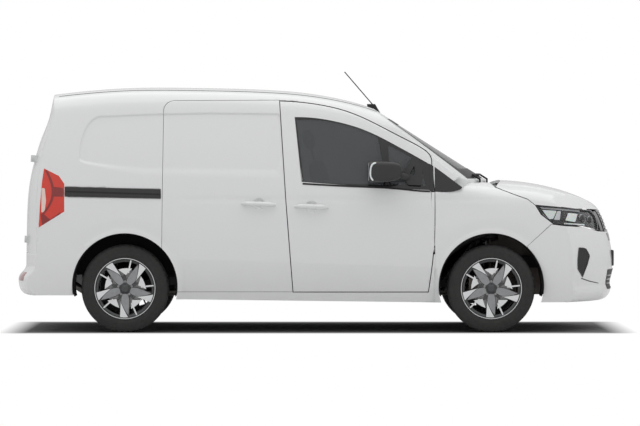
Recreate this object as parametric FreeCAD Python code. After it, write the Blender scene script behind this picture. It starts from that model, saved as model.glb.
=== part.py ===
import FreeCAD, Part
import math
import os
from FreeCAD import Vector

os.makedirs("parts", exist_ok=True)

# Compact panel van: X forward, Y left, Z up, millimetres, origin on the ground under the middle.

# Overall driving dimensions
LENGTH = 4488.0
BODY_WIDTH = 1860.0
ROOF_HEIGHT = 1838.0
WHEELBASE = 2716.0
FRONT_OVERHANG = 957.0
TRACK = 1584.0
OVERRUN = 40.0

# Tyres and rims
TYRE_RADIUS = 326.0
TYRE_WIDTH = 205.0
TYRE_SHOULDER = 24.0
TYRE_BULGE = 7.0
RIM_RADIUS = 203.0
RIM_LIP = 222.0
RIM_LIP_DEPTH = 9.0
RIM_WALL = 8.0
RIM_OFFSET = 18.0
SPOKE_COUNT = 5
SPOKE_DEPTH = 26.0
SPOKE_HUB_WIDTH = 62.0
SPOKE_RIM_WIDTH = 84.0
THIN_SPOKE_WIDTH = 15.0
THIN_SPOKE_DEPTH = 14.0
HUB_RADIUS = 62.0
HUB_DEPTH = 46.0
DISC_RADIUS = 142.0
DISC_THICKNESS = 22.0
DISC_FACE_INSET = 62.0
RIM_TYRE_CLEARANCE = 0.3

# Wheel arches
ARCH_RADIUS = 391.0
ARCH_RISE = 20.0
LINER_RADIUS = 386.0
LINER_WALL = 4.5
LINER_INNER_HALF = 490.0
REAR_LINER_INNER_HALF = 640.0

# Shell walls
SIDE_WALL = 70.0
ROOF_WALL = 40.0
TAIL_WALL = 58.0
SCREEN_WALL = 34.0
WING_WALL = 5.0
BONNET_WALL = 22.0
BUMPER_WALL = 46.0
GLASS_INSET = 4.0
GLASS_THICKNESS = 5.0
PANEL_GAP = 3.0
SEAT_GAP = 0.2
DOOR_GAP = 7.0
SILL_HEIGHT = 250.0
BULKHEAD_THICKNESS = 26.0
FLOOR_THICKNESS = 46.0
LOAD_FLOOR = 556.0
CAB_FLOOR = 372.0

# Side door hinges
HINGE_INBOARD = 26.0
HINGE_AHEAD = 37.5
HINGE_PIN_RADIUS = 4.0
HINGE_EYE_RADIUS = 7.0
HINGE_EYE_HEIGHT = 36.0
HINGE_FIT = 0.25
STRAP_THICKNESS = 7.0
STRAP_REACH = 34.0
LOWER_HINGE_Z = 612.0
UPPER_HINGE_Z = 772.0
HINGE_PLATE = 26.0

# Places along the van, worked out from the driving dimensions
FRONT_END = LENGTH / 2
REAR_END = -LENGTH / 2
FRONT_AXLE = FRONT_END - FRONT_OVERHANG
REAR_AXLE = FRONT_AXLE - WHEELBASE
REAR_OVERHANG = REAR_AXLE - REAR_END
HALF_WIDTH = BODY_WIDTH / 2
HALF_TRACK = TRACK / 2
WHEEL_Z = TYRE_RADIUS


def station(share):
    """Place along the van: 0 at the rear axle, 1 at the front axle, -1 and 2 at the two ends."""
    if share < 0:
        return REAR_AXLE + share * REAR_OVERHANG
    if share > 1:
        return FRONT_AXLE + (share - 1) * FRONT_OVERHANG
    return REAR_AXLE + share * WHEELBASE


def level(share):
    """Height as a share of the roof height."""
    return share * ROOF_HEIGHT


def side_points(shares):
    """Side-view points (X, Z) of an outline given in shares."""
    return [(station(along), level(up)) for along, up in shares]


# Section of the cabin: height share and half-width share, from the sill to the roof centre
CABIN_SECTION_SHARES = [
    (0.110, 0.942), (0.218, 0.984), (0.326, 1.0), (0.435, 0.996), (0.571, 0.975), (0.653, 0.953),
    (0.735, 0.924), (0.816, 0.888), (0.887, 0.852), (0.930, 0.822), (0.962, 0.768), (0.980, 0.660),
    (0.990, 0.430), (0.9925, 0.200)]
BELT_SHARE = 0.571
ROOF_SHARE = 0.9925
# Station, roof share and width share of each cabin section
CABIN_STATION_SHARES = [
    (-1.06, 0.940, 0.962), (-0.627, 0.968, 0.985), (-0.300, 0.983, 0.994), (-0.077, 0.990, 0.998),
    (0.189, 0.9925, 1.0), (0.413, 0.982, 1.0), (0.478, 0.974, 1.0), (0.563, 0.955, 1.0),
    (0.661, 0.9185, 0.999), (0.711, 0.893, 0.998), (0.785, 0.862, 0.995), (0.895, 0.824, 0.989),
    (1.020, 0.790, 0.983)]
# Section of the nose: height share and half-width share, where the bonnet is at its highest
NOSE_SECTION_SHARES = [
    (0.110, 0.942), (0.218, 0.984), (0.326, 1.0), (0.435, 0.996), (0.505, 0.982), (0.549, 0.955),
    (0.577, 0.896), (0.594, 0.790), (0.606, 0.560), (0.6115, 0.290), (0.613, 0.100)]
BONNET_SHARE = 0.613
SHOULDER_WIDTH_SHARES = [0.0, 0.0, 0.0, 0.0, 0.0, 0.022, 0.070, 0.140, 0.220, 0.200, 0.080]
# Station, bonnet share, width share and how far the shoulder is formed
NOSE_STATION_SHARES = [
    (0.600, 0.613, 1.0, 0.0), (0.700, 0.613, 0.998, 0.0), (0.800, 0.613, 0.995, 0.0),
    (0.880, 0.613, 0.990, 0.0),
    (0.950, 0.6135, 0.986, 0.35), (1.000, 0.6135, 0.984, 0.75), (1.090, 0.6125, 0.979, 1.0),
    (1.250, 0.607, 0.966, 1.0),
    (1.430, 0.5925, 0.948, 1.0), (1.600, 0.570, 0.926, 1.0), (1.740, 0.543, 0.905, 1.0),
    (1.860, 0.507, 0.884, 1.0), (2.060, 0.440, 0.850, 1.0)]
NOSE_START_SHARE = 0.800
NOSE_START_WIDTH_SHARE = 0.995
# Plan sweep: how far the nose, screen and tail draw back towards the sides
NOSE_SWEEP = 430.0
SCREEN_BASE_SWEEP = 235.0
SCREEN_TOP_SWEEP = 75.0
TAIL_SWEEP = 118.0
SWEEP_STATION_SHARES = [-1.06, -0.97, -0.86, -0.70, -0.45, 0.0, 0.45, 0.70, 0.86, 0.97, 1.06]
NOSE_SWEEP_POWER_SHARE = 2.6
TAIL_SWEEP_POWER_SHARE = 6.0

# Side-view outlines: station share, height share
NOSE_OUTLINE_SHARES = [
    (1.900, 0.121), (1.968, 0.140), (1.985, 0.172), (1.980, 0.182), (1.994, 0.226), (2.000, 0.300),
    (1.985, 0.354), (1.950, 0.426), (1.905, 0.480), (1.855, 0.512), (1.760, 0.560), (1.600, 0.620)]
TAIL_OUTLINE_SHARES = [
    (-0.930, 0.100), (-0.932, 0.260), (-0.930, 0.330), (-0.926, 0.420), (-0.910, 0.567), (-0.880, 0.650),
    (-0.851, 0.700), (-0.786, 0.790), (-0.721, 0.865), (-0.684, 0.939), (-0.640, 1.010)]
SCREEN_TOP_SHARE = 0.8825
SCREEN_BASE_SHARE = 0.613
SCREEN_TOP_STATION = 0.7106
SCREEN_BASE_STATION = 0.9985

FRONT_DOOR_SHARES = [
    (0.845, 0.566), (0.845, 0.416), (0.841, 0.311), (0.834, 0.223), (0.8285, 0.163)]
FRONT_DOOR_TOP_SHARES = [
    (0.8375, 0.684), (0.831, 0.719), (0.810, 0.745), (0.774, 0.774), (0.715, 0.819), (0.656, 0.863),
    (0.597, 0.897), (0.537, 0.918), (0.478, 0.930), (0.4215, 0.935)]
SHUT_LINE_SHARES = [(0.4215, 0.939), (0.439, 0.534), (0.4585, 0.163)]
SLIDING_REAR_SHARES = [(0.1005, 0.350), (0.104, 0.894), (0.108, 0.915), (0.118, 0.930), (0.135, 0.937)]
GLASS_TOP_SHARES = [
    (0.463, 0.869), (0.528, 0.864), (0.580, 0.850), (0.632, 0.829), (0.695, 0.790), (0.737, 0.757),
    (0.790, 0.714), (0.833, 0.678)]
GLASS_BASE_SHARES = [(0.833, 0.574), (0.737, 0.582), (0.598, 0.595), (0.482, 0.608)]
BONNET_LINE_SHARES = [
    (0.930, 0.640), (0.998, 0.605), (1.034, 0.586), (1.182, 0.556), (1.281, 0.538), (1.340, 0.514),
    (1.706, 0.4965), (1.805, 0.4935), (2.100, 0.480)]
LAMP_LINE_SHARES = [(1.340, 0.514), (1.384, 0.475), (1.479, 0.4365), (1.563, 0.431), (1.736, 0.424)]
LAMP_FRONT_SHARES = [(1.854, 0.406), (2.100, 0.395)]
BUMPER_JOINT_SHARES = [(1.479, 0.4365), (1.463, 0.437), (1.280, 0.350)]
TAIL_LAMP_SHARES = [
    (-0.736, 0.662), (-0.600, 0.632), (-0.550, 0.600), (-0.549, 0.488), (-0.781, 0.424), (-0.771, 0.508),
    (-0.754, 0.604)]
REAR_BUMPER_JOINT_SHARES = [(-0.549, 0.488), (-0.536, 0.412), (-0.349, 0.340)]
RAIL_SHARES = [(-0.545, 0.588), (0.098, 0.578), (0.098, 0.540), (-0.545, 0.549)]

# Rear doors
REAR_DOOR_HALF = 742.0
REAR_DOOR_SPLIT = 90.0
REAR_DOOR_BASE = 592.0
REAR_LEAF_LIP = 4.0
REAR_LEAF_REBATE = 40.0
REAR_DOOR_SHARES = [(1.0, 0.745), (0.965, 0.850), (0.90, 0.897), (0.80, 0.925), (0.0, 0.937)]
REAR_TOP_GAP = 10.0
REAR_HINGE_LEAN_SHARE = 0.08
REAR_HINGE_FOOT_X = -2229.4
REAR_HINGE_EYE_RADIUS = 9.0
REAR_HINGE_EYE_HEIGHT = 36.0
REAR_HINGE_LEAF = 52.0
LOWER_REAR_HINGE_Z = 690.0
UPPER_REAR_HINGE_Z = 1290.0

# Bonnet hinge
BONNET_REAR = 1392.0
BONNET_REAR_SWEEP = 90.0
BONNET_HINGE_X = 1312.0
BONNET_HINGE_Y = 430.0
BONNET_HINGE_Z = 1082.0
BONNET_EYE_WIDTH = 12.0
BONNET_EYE_RADIUS = 8.0
BONNET_GAP = 6.0
SCUTTLE_DROP = 72.0
SCUTTLE_WALL = 12.0

# Steering axis: lower ball joint and upper strut mount
BALL_JOINT_Y = 716.0
BALL_JOINT_Z = 226.0
STRUT_TOP_Y = 590.0
STRUT_TOP_Z = 880.0
STRUT_RADIUS = 27.0
BALL_RADIUS = 17.0

# Engine and running gear
ENGINE_LENGTH = 440.0
ENGINE_WIDTH = 700.0
ENGINE_HEIGHT = 560.0
ENGINE_SETBACK = 14.0
RAIL_Y = 440.0
RAIL_WIDTH = 62.0
RAIL_HEIGHT = 90.0
RAIL_Z = 470.0
AXLE_BEAM_RADIUS = 42.0
ARM_WIDTH = 54.0
TANK_LENGTH = 620.0
TANK_WIDTH = 520.0
TANK_HEIGHT = 190.0
EXHAUST_RADIUS = 27.0
MUFFLER_RADIUS = 92.0


def solid_of(shape):
    """The single solid of a shape, or the shape itself if it has several."""
    return shape.Solids[0] if len(shape.Solids) == 1 else shape


def polygon_xz(points, y_from, y_to):
    """A side-view outline extruded across the van."""
    loop = [Vector(x, y_from, z) for x, z in points]
    face = Part.Face(Part.makePolygon(loop + loop[:1]))
    return face.extrude(Vector(0, y_to - y_from, 0))


def polygon_yz(points, x_from, x_to):
    """An end-view outline extruded along the van."""
    loop = [Vector(x_from, y, z) for y, z in points]
    face = Part.Face(Part.makePolygon(loop + loop[:1]))
    return face.extrude(Vector(x_to - x_from, 0, 0))


def polygon_xy(points, z_from, z_to):
    """A plan outline extruded upwards."""
    loop = [Vector(x, y, z_from) for x, y in points]
    face = Part.Face(Part.makePolygon(loop + loop[:1]))
    return face.extrude(Vector(0, 0, z_to - z_from))


def box(low, high):
    """A box between two corners."""
    size = [b - a for a, b in zip(low, high)]
    return Part.makeBox(size[0], size[1], size[2], Vector(*low))


def mirrored(shape):
    """The same piece on the other side of the van."""
    return shape.mirror(Vector(0, 0, 0), Vector(0, 1, 0))


def export(shape, name):
    """One STEP file for one piece."""
    shape.exportStep("parts/" + name + ".step")


def faded(y, inset):
    """How far an inset applies near the middle of the van, where a wall has no side."""
    return min(1.0, y / (3 * abs(inset))) if inset else 0.0


def spline(points):
    """A smooth edge through points."""
    curve = Part.BSplineCurve()
    curve.interpolate(points)
    return curve.toShape()


def cabin_section(share, roof_share, width_share, inset, roof_inset):
    """One closed section of the cabin at a station, drawn in by the wall thickness."""
    side = []
    roof_scale = (roof_share - BELT_SHARE) / (ROOF_SHARE - BELT_SHARE)
    for up, wide in CABIN_SECTION_SHARES:
        if up > BELT_SHARE:
            up = BELT_SHARE + (up - BELT_SHARE) * roof_scale
        side.append((up, wide))
    x = station(share)
    roof = level(roof_share)
    half = []
    for up, wide in side:
        z = level(up)
        closeness = max(0.0, (z - level(BELT_SHARE)) / (roof - level(BELT_SHARE)))
        y = wide * width_share * HALF_WIDTH
        half.append((y - inset * faded(y, inset), z - roof_inset * closeness))
    right = [Vector(x, -y, z) for y, z in half]
    left = [Vector(x, y, z) for y, z in reversed(half)]
    arch = spline(right + left)
    low = Part.makeLine(left[-1], right[0])
    return Part.Wire([arch, low])


def cabin_tube(inset, roof_inset):
    """The cabin's sides and roof as one lofted tube."""
    wires = [cabin_section(*row, inset, roof_inset) for row in CABIN_STATION_SHARES]
    return Part.makeLoft(wires, True, False)


def nose_section(share, top_share, width_share, shoulder_share, inset, top_inset):
    """One closed section of the wings and bonnet at a station."""
    scale = (top_share - NOSE_SECTION_SHARES[0][0]) / (BONNET_SHARE - NOSE_SECTION_SHARES[0][0])
    x = station(share)
    half = []
    low = NOSE_SECTION_SHARES[0][0]
    for (up, wide), spread in zip(NOSE_SECTION_SHARES, SHOULDER_WIDTH_SHARES):
        z = level(low + (up - low) * scale)
        y = (wide + spread * (1 - shoulder_share)) * width_share * HALF_WIDTH
        reach = (z - level(low)) / (level(top_share) - level(low))
        half.append((y - inset * faded(y, inset), z - top_inset * reach ** 4))
    right = [Vector(x, -y, z) for y, z in half]
    left = [Vector(x, y, z) for y, z in reversed(half)]
    return Part.Wire([spline(right + left), Part.makeLine(left[-1], right[0])])


def nose_tube(inset, top_inset):
    """The wings and bonnet as one lofted tube."""
    wires = [nose_section(*row, inset, top_inset) for row in NOSE_STATION_SHARES]
    return Part.makeLoft(wires, True, False)


def profile_loft(outline_at):
    """A solid through side-view outlines at several distances from the middle."""
    wires = []
    for share in SWEEP_STATION_SHARES:
        wires.append(outline_at(share * HALF_WIDTH, abs(share)))
    return Part.makeLoft(wires, True, False)


def nose_block(inset):
    """The nose in side view, drawn back towards the wings."""
    def outline(y, share):
        sweep = NOSE_SWEEP * share ** NOSE_SWEEP_POWER_SHARE
        points = [Vector(x - sweep - inset, y, z) for x, z in side_points(NOSE_OUTLINE_SHARES)]
        rear = station(NOSE_START_SHARE) + OVERRUN
        top = Vector(rear, y, points[-1].z + OVERRUN)
        low = Vector(rear, y, points[0].z)
        edges = [spline(points), Part.makeLine(points[-1], top)]
        edges += [Part.makeLine(top, low), Part.makeLine(low, points[0])]
        return Part.Wire(edges)
    return profile_loft(outline)


def cabin_block(tail_inset, screen_inset):
    """The cabin in side view: tail, windscreen and firewall."""
    def outline(y, share):
        tail_sweep = TAIL_SWEEP * share ** TAIL_SWEEP_POWER_SHARE
        points = [Vector(x + tail_sweep + tail_inset, y, z) for x, z in side_points(TAIL_OUTLINE_SHARES)]
        base_x = station(SCREEN_BASE_STATION) - SCREEN_BASE_SWEEP * share ** 2 - screen_inset
        top_x = station(SCREEN_TOP_STATION) - SCREEN_TOP_SWEEP * share ** 2 - screen_inset
        base = Vector(base_x, y, level(SCREEN_BASE_SHARE))
        head = Vector(top_x, y, level(SCREEN_TOP_SHARE))
        lift = (points[-1].z - base.z) / (head.z - base.z)
        crest = base + (head - base) * lift
        foot = Vector(base_x, y, points[0].z)
        edges = [spline(points), Part.makeLine(points[-1], crest), Part.makeLine(crest, base)]
        edges += [Part.makeLine(base, foot), Part.makeLine(foot, points[0])]
        return Part.Wire(edges)
    return profile_loft(outline)


def layer(side_inset, end_inset):
    """The cabin's outer form drawn in by a small amount, for glass."""
    return cabin_tube(side_inset, side_inset).common(cabin_block(end_inset, end_inset))


# Section of the tyre and rim: radius and width shares are worked out from their sizes
SEAT_Y = 395.0
SEAT_WIDTH = 500.0
SEAT_REAR_X = 110.0
SEAT_CUSHION_DEPTH = 520.0
SEAT_CUSHION_HEIGHT = 150.0
SEAT_BASE_HEIGHT = 230.0
SEAT_BACK_HEIGHT = 640.0
SEAT_BACK_DEPTH = 130.0
SEAT_BACK_LEAN = 16.0
HEADREST_WIDTH = 270.0
HEADREST_HEIGHT = 170.0
HEADREST_DEPTH = 95.0
HEADREST_GAP = 60.0
HEADREST_POST_RADIUS = 7.0
STEERING_WHEEL_RADIUS = 185.0
STEERING_WHEEL_GRIP = 15.0
STEERING_WHEEL_X = 660.0
STEERING_WHEEL_Z = 1010.0
STEERING_WHEEL_TILT = 26.0
STEERING_COLUMN_RADIUS = 26.0
STEERING_COLUMN_LENGTH = 300.0
SCREEN_BASE_HALF = 742.0
SCREEN_TOP_HALF = 612.0
SCREEN_BASE = 1140.0
SCREEN_TOP = 1588.0
ROOF_PANEL_HALF = 640.0
ROOF_PANEL_BASE = 1450.0
TAIL_LAMP_WALL = 58.0
FIREWALL_HALF = 640.0
TOE_RISE = 330.0
TOE_RUN = 260.0
SPINDLE_RADIUS = 22.0
UPRIGHT_WIDTH = 70.0
UPRIGHT_THICKNESS = 26.0
BULKHEAD_STATION_SHARE = 0.4415


def cylinder(radius, length, base, direction):
    """A round bar from a base point."""
    return Part.makeCylinder(radius, length, Vector(*base), Vector(*direction))


def bar(radius, start, end):
    """A round bar between two points."""
    run = end - start
    return Part.makeCylinder(radius, run.Length, start, run)


def grown(points, grow):
    """A closed outline moved outwards evenly, each corner mitred."""
    count = len(points)
    area = sum(points[i - 1][0] * points[i][1] - points[i][0] * points[i - 1][1] for i in range(count))
    turn = 1 if area > 0 else -1
    moved = []
    for i in range(count):
        before = Vector(*points[i], 0) - Vector(*points[i - 1], 0)
        after = Vector(*points[(i + 1) % count], 0) - Vector(*points[i], 0)
        before.normalize()
        after.normalize()
        normal = Vector(before.y + after.y, -before.x - after.x, 0) * turn
        normal.normalize()
        reach = grow / (normal.dot(Vector(before.y, -before.x, 0)) * turn)
        moved.append((points[i][0] + normal.x * reach, points[i][1] + normal.y * reach))
    return moved


def outline_face(runs, grow):
    """A side-view face from runs of points, each run straight or smooth, grown or shrunk evenly."""
    loop = []
    for kind, points in runs:
        loop += [point for point in points if point not in loop]
    places = dict(zip(loop, grown(loop, grow)))
    edges = []
    last = places[runs[-1][1][-1]]
    for kind, points in runs:
        spots = [places[point] for point in points]
        if spots[0] != last:
            spots = [last] + spots if kind == "straight" else spots
            if kind == "smooth":
                edges.append(Part.makeLine(Vector(last[0], 0, last[1]), Vector(spots[0][0], 0, spots[0][1])))
        line = [Vector(x, 0, z) for x, z in spots]
        if kind == "smooth" and len(line) > 2:
            edges.append(spline(line))
        else:
            edges += [Part.makeLine(start, end) for start, end in zip(line, line[1:])]
        last = spots[-1]
    return Part.Face(Part.Wire(edges))


def prism_y(face, y_from, y_to):
    """A side-view face extruded between two distances from the middle."""
    face = face.copy()
    face.translate(Vector(0, y_from, 0))
    return face.extrude(Vector(0, y_to - y_from, 0))


def side_prism(runs, grow=0.0):
    """The right-hand side cut out along a side-view outline."""
    return prism_y(outline_face(runs, grow), -HALF_WIDTH - OVERRUN, -ROOF_PANEL_HALF - DOOR_GAP)


def arch_cylinder(x, radius, y_from, y_to):
    """The round of a wheel arch."""
    return cylinder(radius, y_to - y_from, (x, y_from, WHEEL_Z + ARCH_RISE), (0, 1, 0))


cabin_outer = cabin_tube(0, 0).common(cabin_block(0, 0))
cabin_inner = cabin_tube(SIDE_WALL, ROOF_WALL).common(cabin_block(TAIL_WALL, SCREEN_WALL))
nose_outer = nose_tube(0, 0).common(nose_block(0))
nose_inner = nose_tube(WING_WALL, BONNET_WALL).common(nose_block(BUMPER_WALL))
pillar_form = cabin_tube(WING_WALL + DOOR_GAP, 0).common(cabin_block(0, 0))
glass_outer = layer(GLASS_INSET, GLASS_INSET)
glass_inner = layer(GLASS_INSET + GLASS_THICKNESS, GLASS_INSET + GLASS_THICKNESS)
cabin_shell = cabin_outer.cut(cabin_inner)
nose_shell = nose_outer.cut(nose_inner)
glass_layer = glass_outer.cut(glass_inner)

door_top = side_points(FRONT_DOOR_TOP_SHARES)
shut_line = side_points(SHUT_LINE_SHARES)
door_front = side_points(FRONT_DOOR_SHARES)
front_door_runs = [("smooth", door_top), ("straight", [door_top[-1]] + shut_line[1:]),
                   ("straight", [shut_line[-1], door_front[-1]]), ("smooth", door_front[::-1])]
slide_rear = side_points(SLIDING_REAR_SHARES)
slide_runs = [("straight", [shut_line[-1], shut_line[1], shut_line[0]]),
              ("straight", [shut_line[0], slide_rear[-1]]), ("smooth", slide_rear[:0:-1]),
              ("straight", [slide_rear[1], slide_rear[0], (slide_rear[0][0], shut_line[-1][1])])]
glass_top = side_points(GLASS_TOP_SHARES)
glass_base = side_points(GLASS_BASE_SHARES)
glass_runs = [("smooth", glass_top), ("smooth", glass_base)]

front_door_prism = side_prism(front_door_runs, -DOOR_GAP / 2)
front_opening = side_prism(front_door_runs, DOOR_GAP / 2)
slide_prism = side_prism(slide_runs, -PANEL_GAP)
slide_opening = side_prism(slide_runs)
glass_prism = side_prism(glass_runs)


def half_prism(points):
    """A side-view polygon cut through the right-hand half of the van."""
    return polygon_xz(points, -HALF_WIDTH - OVERRUN, 0)


def full_prism(points):
    """A side-view polygon cut through the whole van."""
    return polygon_xz(points, -HALF_WIDTH - OVERRUN, HALF_WIDTH + OVERRUN)


bonnet_line = side_points(BONNET_LINE_SHARES)
lamp_line = side_points(LAMP_LINE_SHARES)
lamp_front = side_points(LAMP_FRONT_SHARES)
bumper_joint = side_points(BUMPER_JOINT_SHARES)
sky = ROOF_HEIGHT
wing_start = door_front[0][0] + DOOR_GAP / 2
front_limit = FRONT_END + OVERRUN
outside = HALF_WIDTH + OVERRUN

# Wheel arches
liner_outer = LINER_RADIUS + LINER_WALL
front_arch = arch_cylinder(FRONT_AXLE, ARCH_RADIUS, -outside, -LINER_INNER_HALF)
rear_arch = arch_cylinder(REAR_AXLE, ARCH_RADIUS, -outside, -REAR_LINER_INNER_HALF)

# Bonnet: above the shut line, its rear edge curved in plan
bonnet_edge = [(x, z + BONNET_GAP - PANEL_GAP) for x, z in bonnet_line[2:]]
bonnet_zone = full_prism([(bonnet_edge[0][0], sky)] + bonnet_edge + [(bonnet_edge[-1][0], sky)])
rear_edge = [(BONNET_REAR - BONNET_REAR_SWEEP * share ** 2, share * HALF_WIDTH)
             for share in SWEEP_STATION_SHARES]
bonnet_plan = polygon_xy(rear_edge + [(front_limit, outside), (front_limit, -outside)], 0, sky)
bonnet = nose_shell.common(bonnet_zone).common(bonnet_plan)
hinge_axle = Vector(BONNET_HINGE_X, -BONNET_HINGE_Y, BONNET_HINGE_Z)


def bonnet_arm():
    """Bonnet half of a hinge: an eye on a cranked arm up to the bonnet's skin."""
    low_y = -BONNET_HINGE_Y - BONNET_EYE_WIDTH / 2
    eye = cylinder(BONNET_EYE_RADIUS, BONNET_EYE_WIDTH, (hinge_axle.x, low_y, hinge_axle.z), (0, 1, 0))
    reach = BONNET_REAR - BONNET_HINGE_X + OVERRUN
    arm = polygon_xz([(hinge_axle.x, hinge_axle.z - BONNET_EYE_RADIUS),
                      (hinge_axle.x + reach, hinge_axle.z - BONNET_EYE_RADIUS),
                      (hinge_axle.x + reach, hinge_axle.z + BONNET_WALL),
                      (hinge_axle.x + reach - OVERRUN / 2, hinge_axle.z + BONNET_WALL),
                      (hinge_axle.x + reach - OVERRUN, hinge_axle.z + BONNET_EYE_RADIUS),
                      (hinge_axle.x, hinge_axle.z + BONNET_EYE_RADIUS)],
                     low_y, low_y + BONNET_EYE_WIDTH)
    bore = cylinder(HINGE_PIN_RADIUS + HINGE_FIT, 2 * outside, (hinge_axle.x, -outside, hinge_axle.z),
                    (0, 1, 0))
    return eye.fuse(arm).cut(bore)


def bonnet_bracket():
    """Body half of a bonnet hinge: a pin between two cheeks that stand out from the firewall."""
    low_y = -BONNET_HINGE_Y - BONNET_EYE_WIDTH / 2 - HINGE_FIT
    width = BONNET_EYE_WIDTH + 2 * HINGE_FIT
    cheek = STRAP_THICKNESS
    pin = cylinder(HINGE_PIN_RADIUS, width + 2 * cheek, (hinge_axle.x, low_y - cheek, hinge_axle.z),
                   (0, 1, 0))
    start_x = station(SCREEN_BASE_STATION) - SCREEN_BASE_SWEEP / 2 + OVERRUN / 2
    cheeks = [box((start_x, y, hinge_axle.z - BONNET_EYE_RADIUS),
                  (hinge_axle.x + BONNET_EYE_RADIUS, y + cheek, hinge_axle.z + BONNET_EYE_RADIUS))
              for y in (low_y - cheek, low_y + width)]
    return pin.fuse(cheeks)


arm_piece = bonnet_arm()
bonnet = bonnet.fuse([arm_piece, mirrored(arm_piece)])

# Scuttle: a sunk strip between the bonnet and the windscreen
scuttle_edge = [(x - DOOR_GAP, y) for x, y in rear_edge]
screen_base_x = station(SCREEN_BASE_STATION)
scuttle_plan = polygon_xy(scuttle_edge + [(screen_base_x - SCREEN_BASE_SWEEP, outside),
                                          (screen_base_x - SCREEN_BASE_SWEEP, -outside)], 0, sky)
scuttle_top = level(BONNET_SHARE) - SCUTTLE_DROP
scuttle_tray = box((screen_base_x - SCREEN_BASE_SWEEP, -outside, scuttle_top - SCUTTLE_WALL),
                   (BONNET_REAR, outside, scuttle_top))
scuttle = nose_inner.common(scuttle_tray).common(scuttle_plan).cut(cabin_outer)

# Wings: from the door to the bumper joint, below the bonnet line
wing_points = [(wing_start, level(NOSE_SECTION_SHARES[0][0])), (wing_start, door_front[0][1])]
wing_points += [bonnet_line[0], bonnet_line[1]]
wing_points += [(x, z - PANEL_GAP) for x, z in bonnet_line[2:6]]
wing_points += [(x, z) for x, z in lamp_line[1:3]] + bumper_joint[1:]
wing_points += [(bumper_joint[-1][0], level(NOSE_SECTION_SHARES[0][0]))]
wing_side = box((0, -outside, 0), (front_limit, -FIREWALL_HALF, sky))
wing_right = nose_shell.common(half_prism(wing_points)).common(wing_side)
wing_right = wing_right.cut(front_arch).cut(front_opening).cut(pillar_form)

# Bumper, lamps and grille
low = level(NOSE_SECTION_SHARES[0][0])
bumper_points = [(bumper_joint[-1][0] + PANEL_GAP, low - OVERRUN),
                 (bumper_joint[-1][0] + PANEL_GAP, bumper_joint[-1][1])]
bumper_points += [(bumper_joint[1][0] + PANEL_GAP, bumper_joint[1][1] - PANEL_GAP)]
bumper_points += [(x, z - PANEL_GAP) for x, z in lamp_line[2:] + lamp_front]
bumper_points += [(lamp_front[-1][0], low - OVERRUN)]
front_bumper = nose_shell.common(full_prism(bumper_points)).cut(front_arch).cut(mirrored(front_arch))
lamp_points = [(x, z - PANEL_GAP) for x, z in bonnet_line[5:]] + lamp_front[::-1] + lamp_line[:0:-1]
GRILLE_HALF = 395.0
lamp_zone = half_prism(lamp_points)
lamp_side = box((0, -outside, 0), (front_limit, -GRILLE_HALF - PANEL_GAP, sky))
headlamp_right = nose_shell.common(lamp_zone).common(lamp_side)
grille_zone = box((0, -GRILLE_HALF, 0), (front_limit, GRILLE_HALF, sky))
seat_drop = PANEL_GAP - SEAT_GAP
grille_points = [(x, z - PANEL_GAP) for x, z in bonnet_line[5:]]
grille_points += [(x, z - seat_drop) for x, z in lamp_front[::-1] + lamp_line[:0:-1]]
grille = nose_shell.common(full_prism(grille_points)).common(grille_zone)

# Side door hinges: the axis stands inboard of the widest skin and ahead of the shut line
hinge_x = door_front[0][0] + HINGE_AHEAD - DOOR_GAP / 2
hinge_y = -(HALF_WIDTH * NOSE_START_WIDTH_SHARE - HINGE_INBOARD)
hinge_levels = [LOWER_HINGE_Z, UPPER_HINGE_Z]


def door_strap(z, bite):
    """Door half of a hinge: an eye on the pin and a goose-neck strap into the door's front face."""
    low_z = z - HINGE_EYE_HEIGHT / 2
    eye = cylinder(HINGE_EYE_RADIUS, HINGE_EYE_HEIGHT, (hinge_x, hinge_y, low_z), (0, 0, 1))
    neck = box((hinge_x - STRAP_THICKNESS / 2, hinge_y, low_z),
               (hinge_x + STRAP_THICKNESS / 2, hinge_y + STRAP_REACH, low_z + HINGE_EYE_HEIGHT))
    leaf = box((hinge_x - HINGE_AHEAD - bite, hinge_y + STRAP_REACH - STRAP_THICKNESS, low_z),
               (hinge_x + STRAP_THICKNESS / 2, hinge_y + STRAP_REACH, low_z + HINGE_EYE_HEIGHT))
    bore = cylinder(HINGE_PIN_RADIUS + HINGE_FIT, HINGE_EYE_HEIGHT + 2 * OVERRUN,
                    (hinge_x, hinge_y, low_z - OVERRUN), (0, 0, 1))
    return eye.fuse([neck, leaf]).cut(bore)


def pillar_bracket(z):
    """Body half of a hinge: a pin between two ears on a plate."""
    half = HINGE_EYE_HEIGHT / 2 + HINGE_FIT
    ear = STRAP_THICKNESS
    plate_x = hinge_x + HINGE_AHEAD
    pin = cylinder(HINGE_PIN_RADIUS, 2 * (half + ear), (hinge_x, hinge_y, z - half - ear), (0, 0, 1))
    pieces = [box((plate_x, hinge_y - HINGE_PIN_RADIUS, z - half - ear),
                  (plate_x + HINGE_PLATE, hinge_y + STRAP_REACH, z + half + ear))]
    for base in (z - half - ear, z + half):
        pieces.append(box((hinge_x, hinge_y - HINGE_PIN_RADIUS, base),
                          (plate_x + ear, hinge_y + HINGE_PIN_RADIUS, base + ear)))
        pieces.append(cylinder(HINGE_EYE_RADIUS, ear, (hinge_x, hinge_y, base), (0, 0, 1)))
    return pin.fuse(pieces)


def hinge_pocket(z):
    """Room in the pillar for the strap to swing."""
    half = HINGE_EYE_HEIGHT / 2 + HINGE_FIT + STRAP_THICKNESS + DOOR_GAP
    return box((hinge_x - 2 * HINGE_AHEAD, -outside, z - half),
               (hinge_x + HINGE_AHEAD, hinge_y + STRAP_REACH + 2 * STRAP_THICKNESS, z + half))


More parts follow.
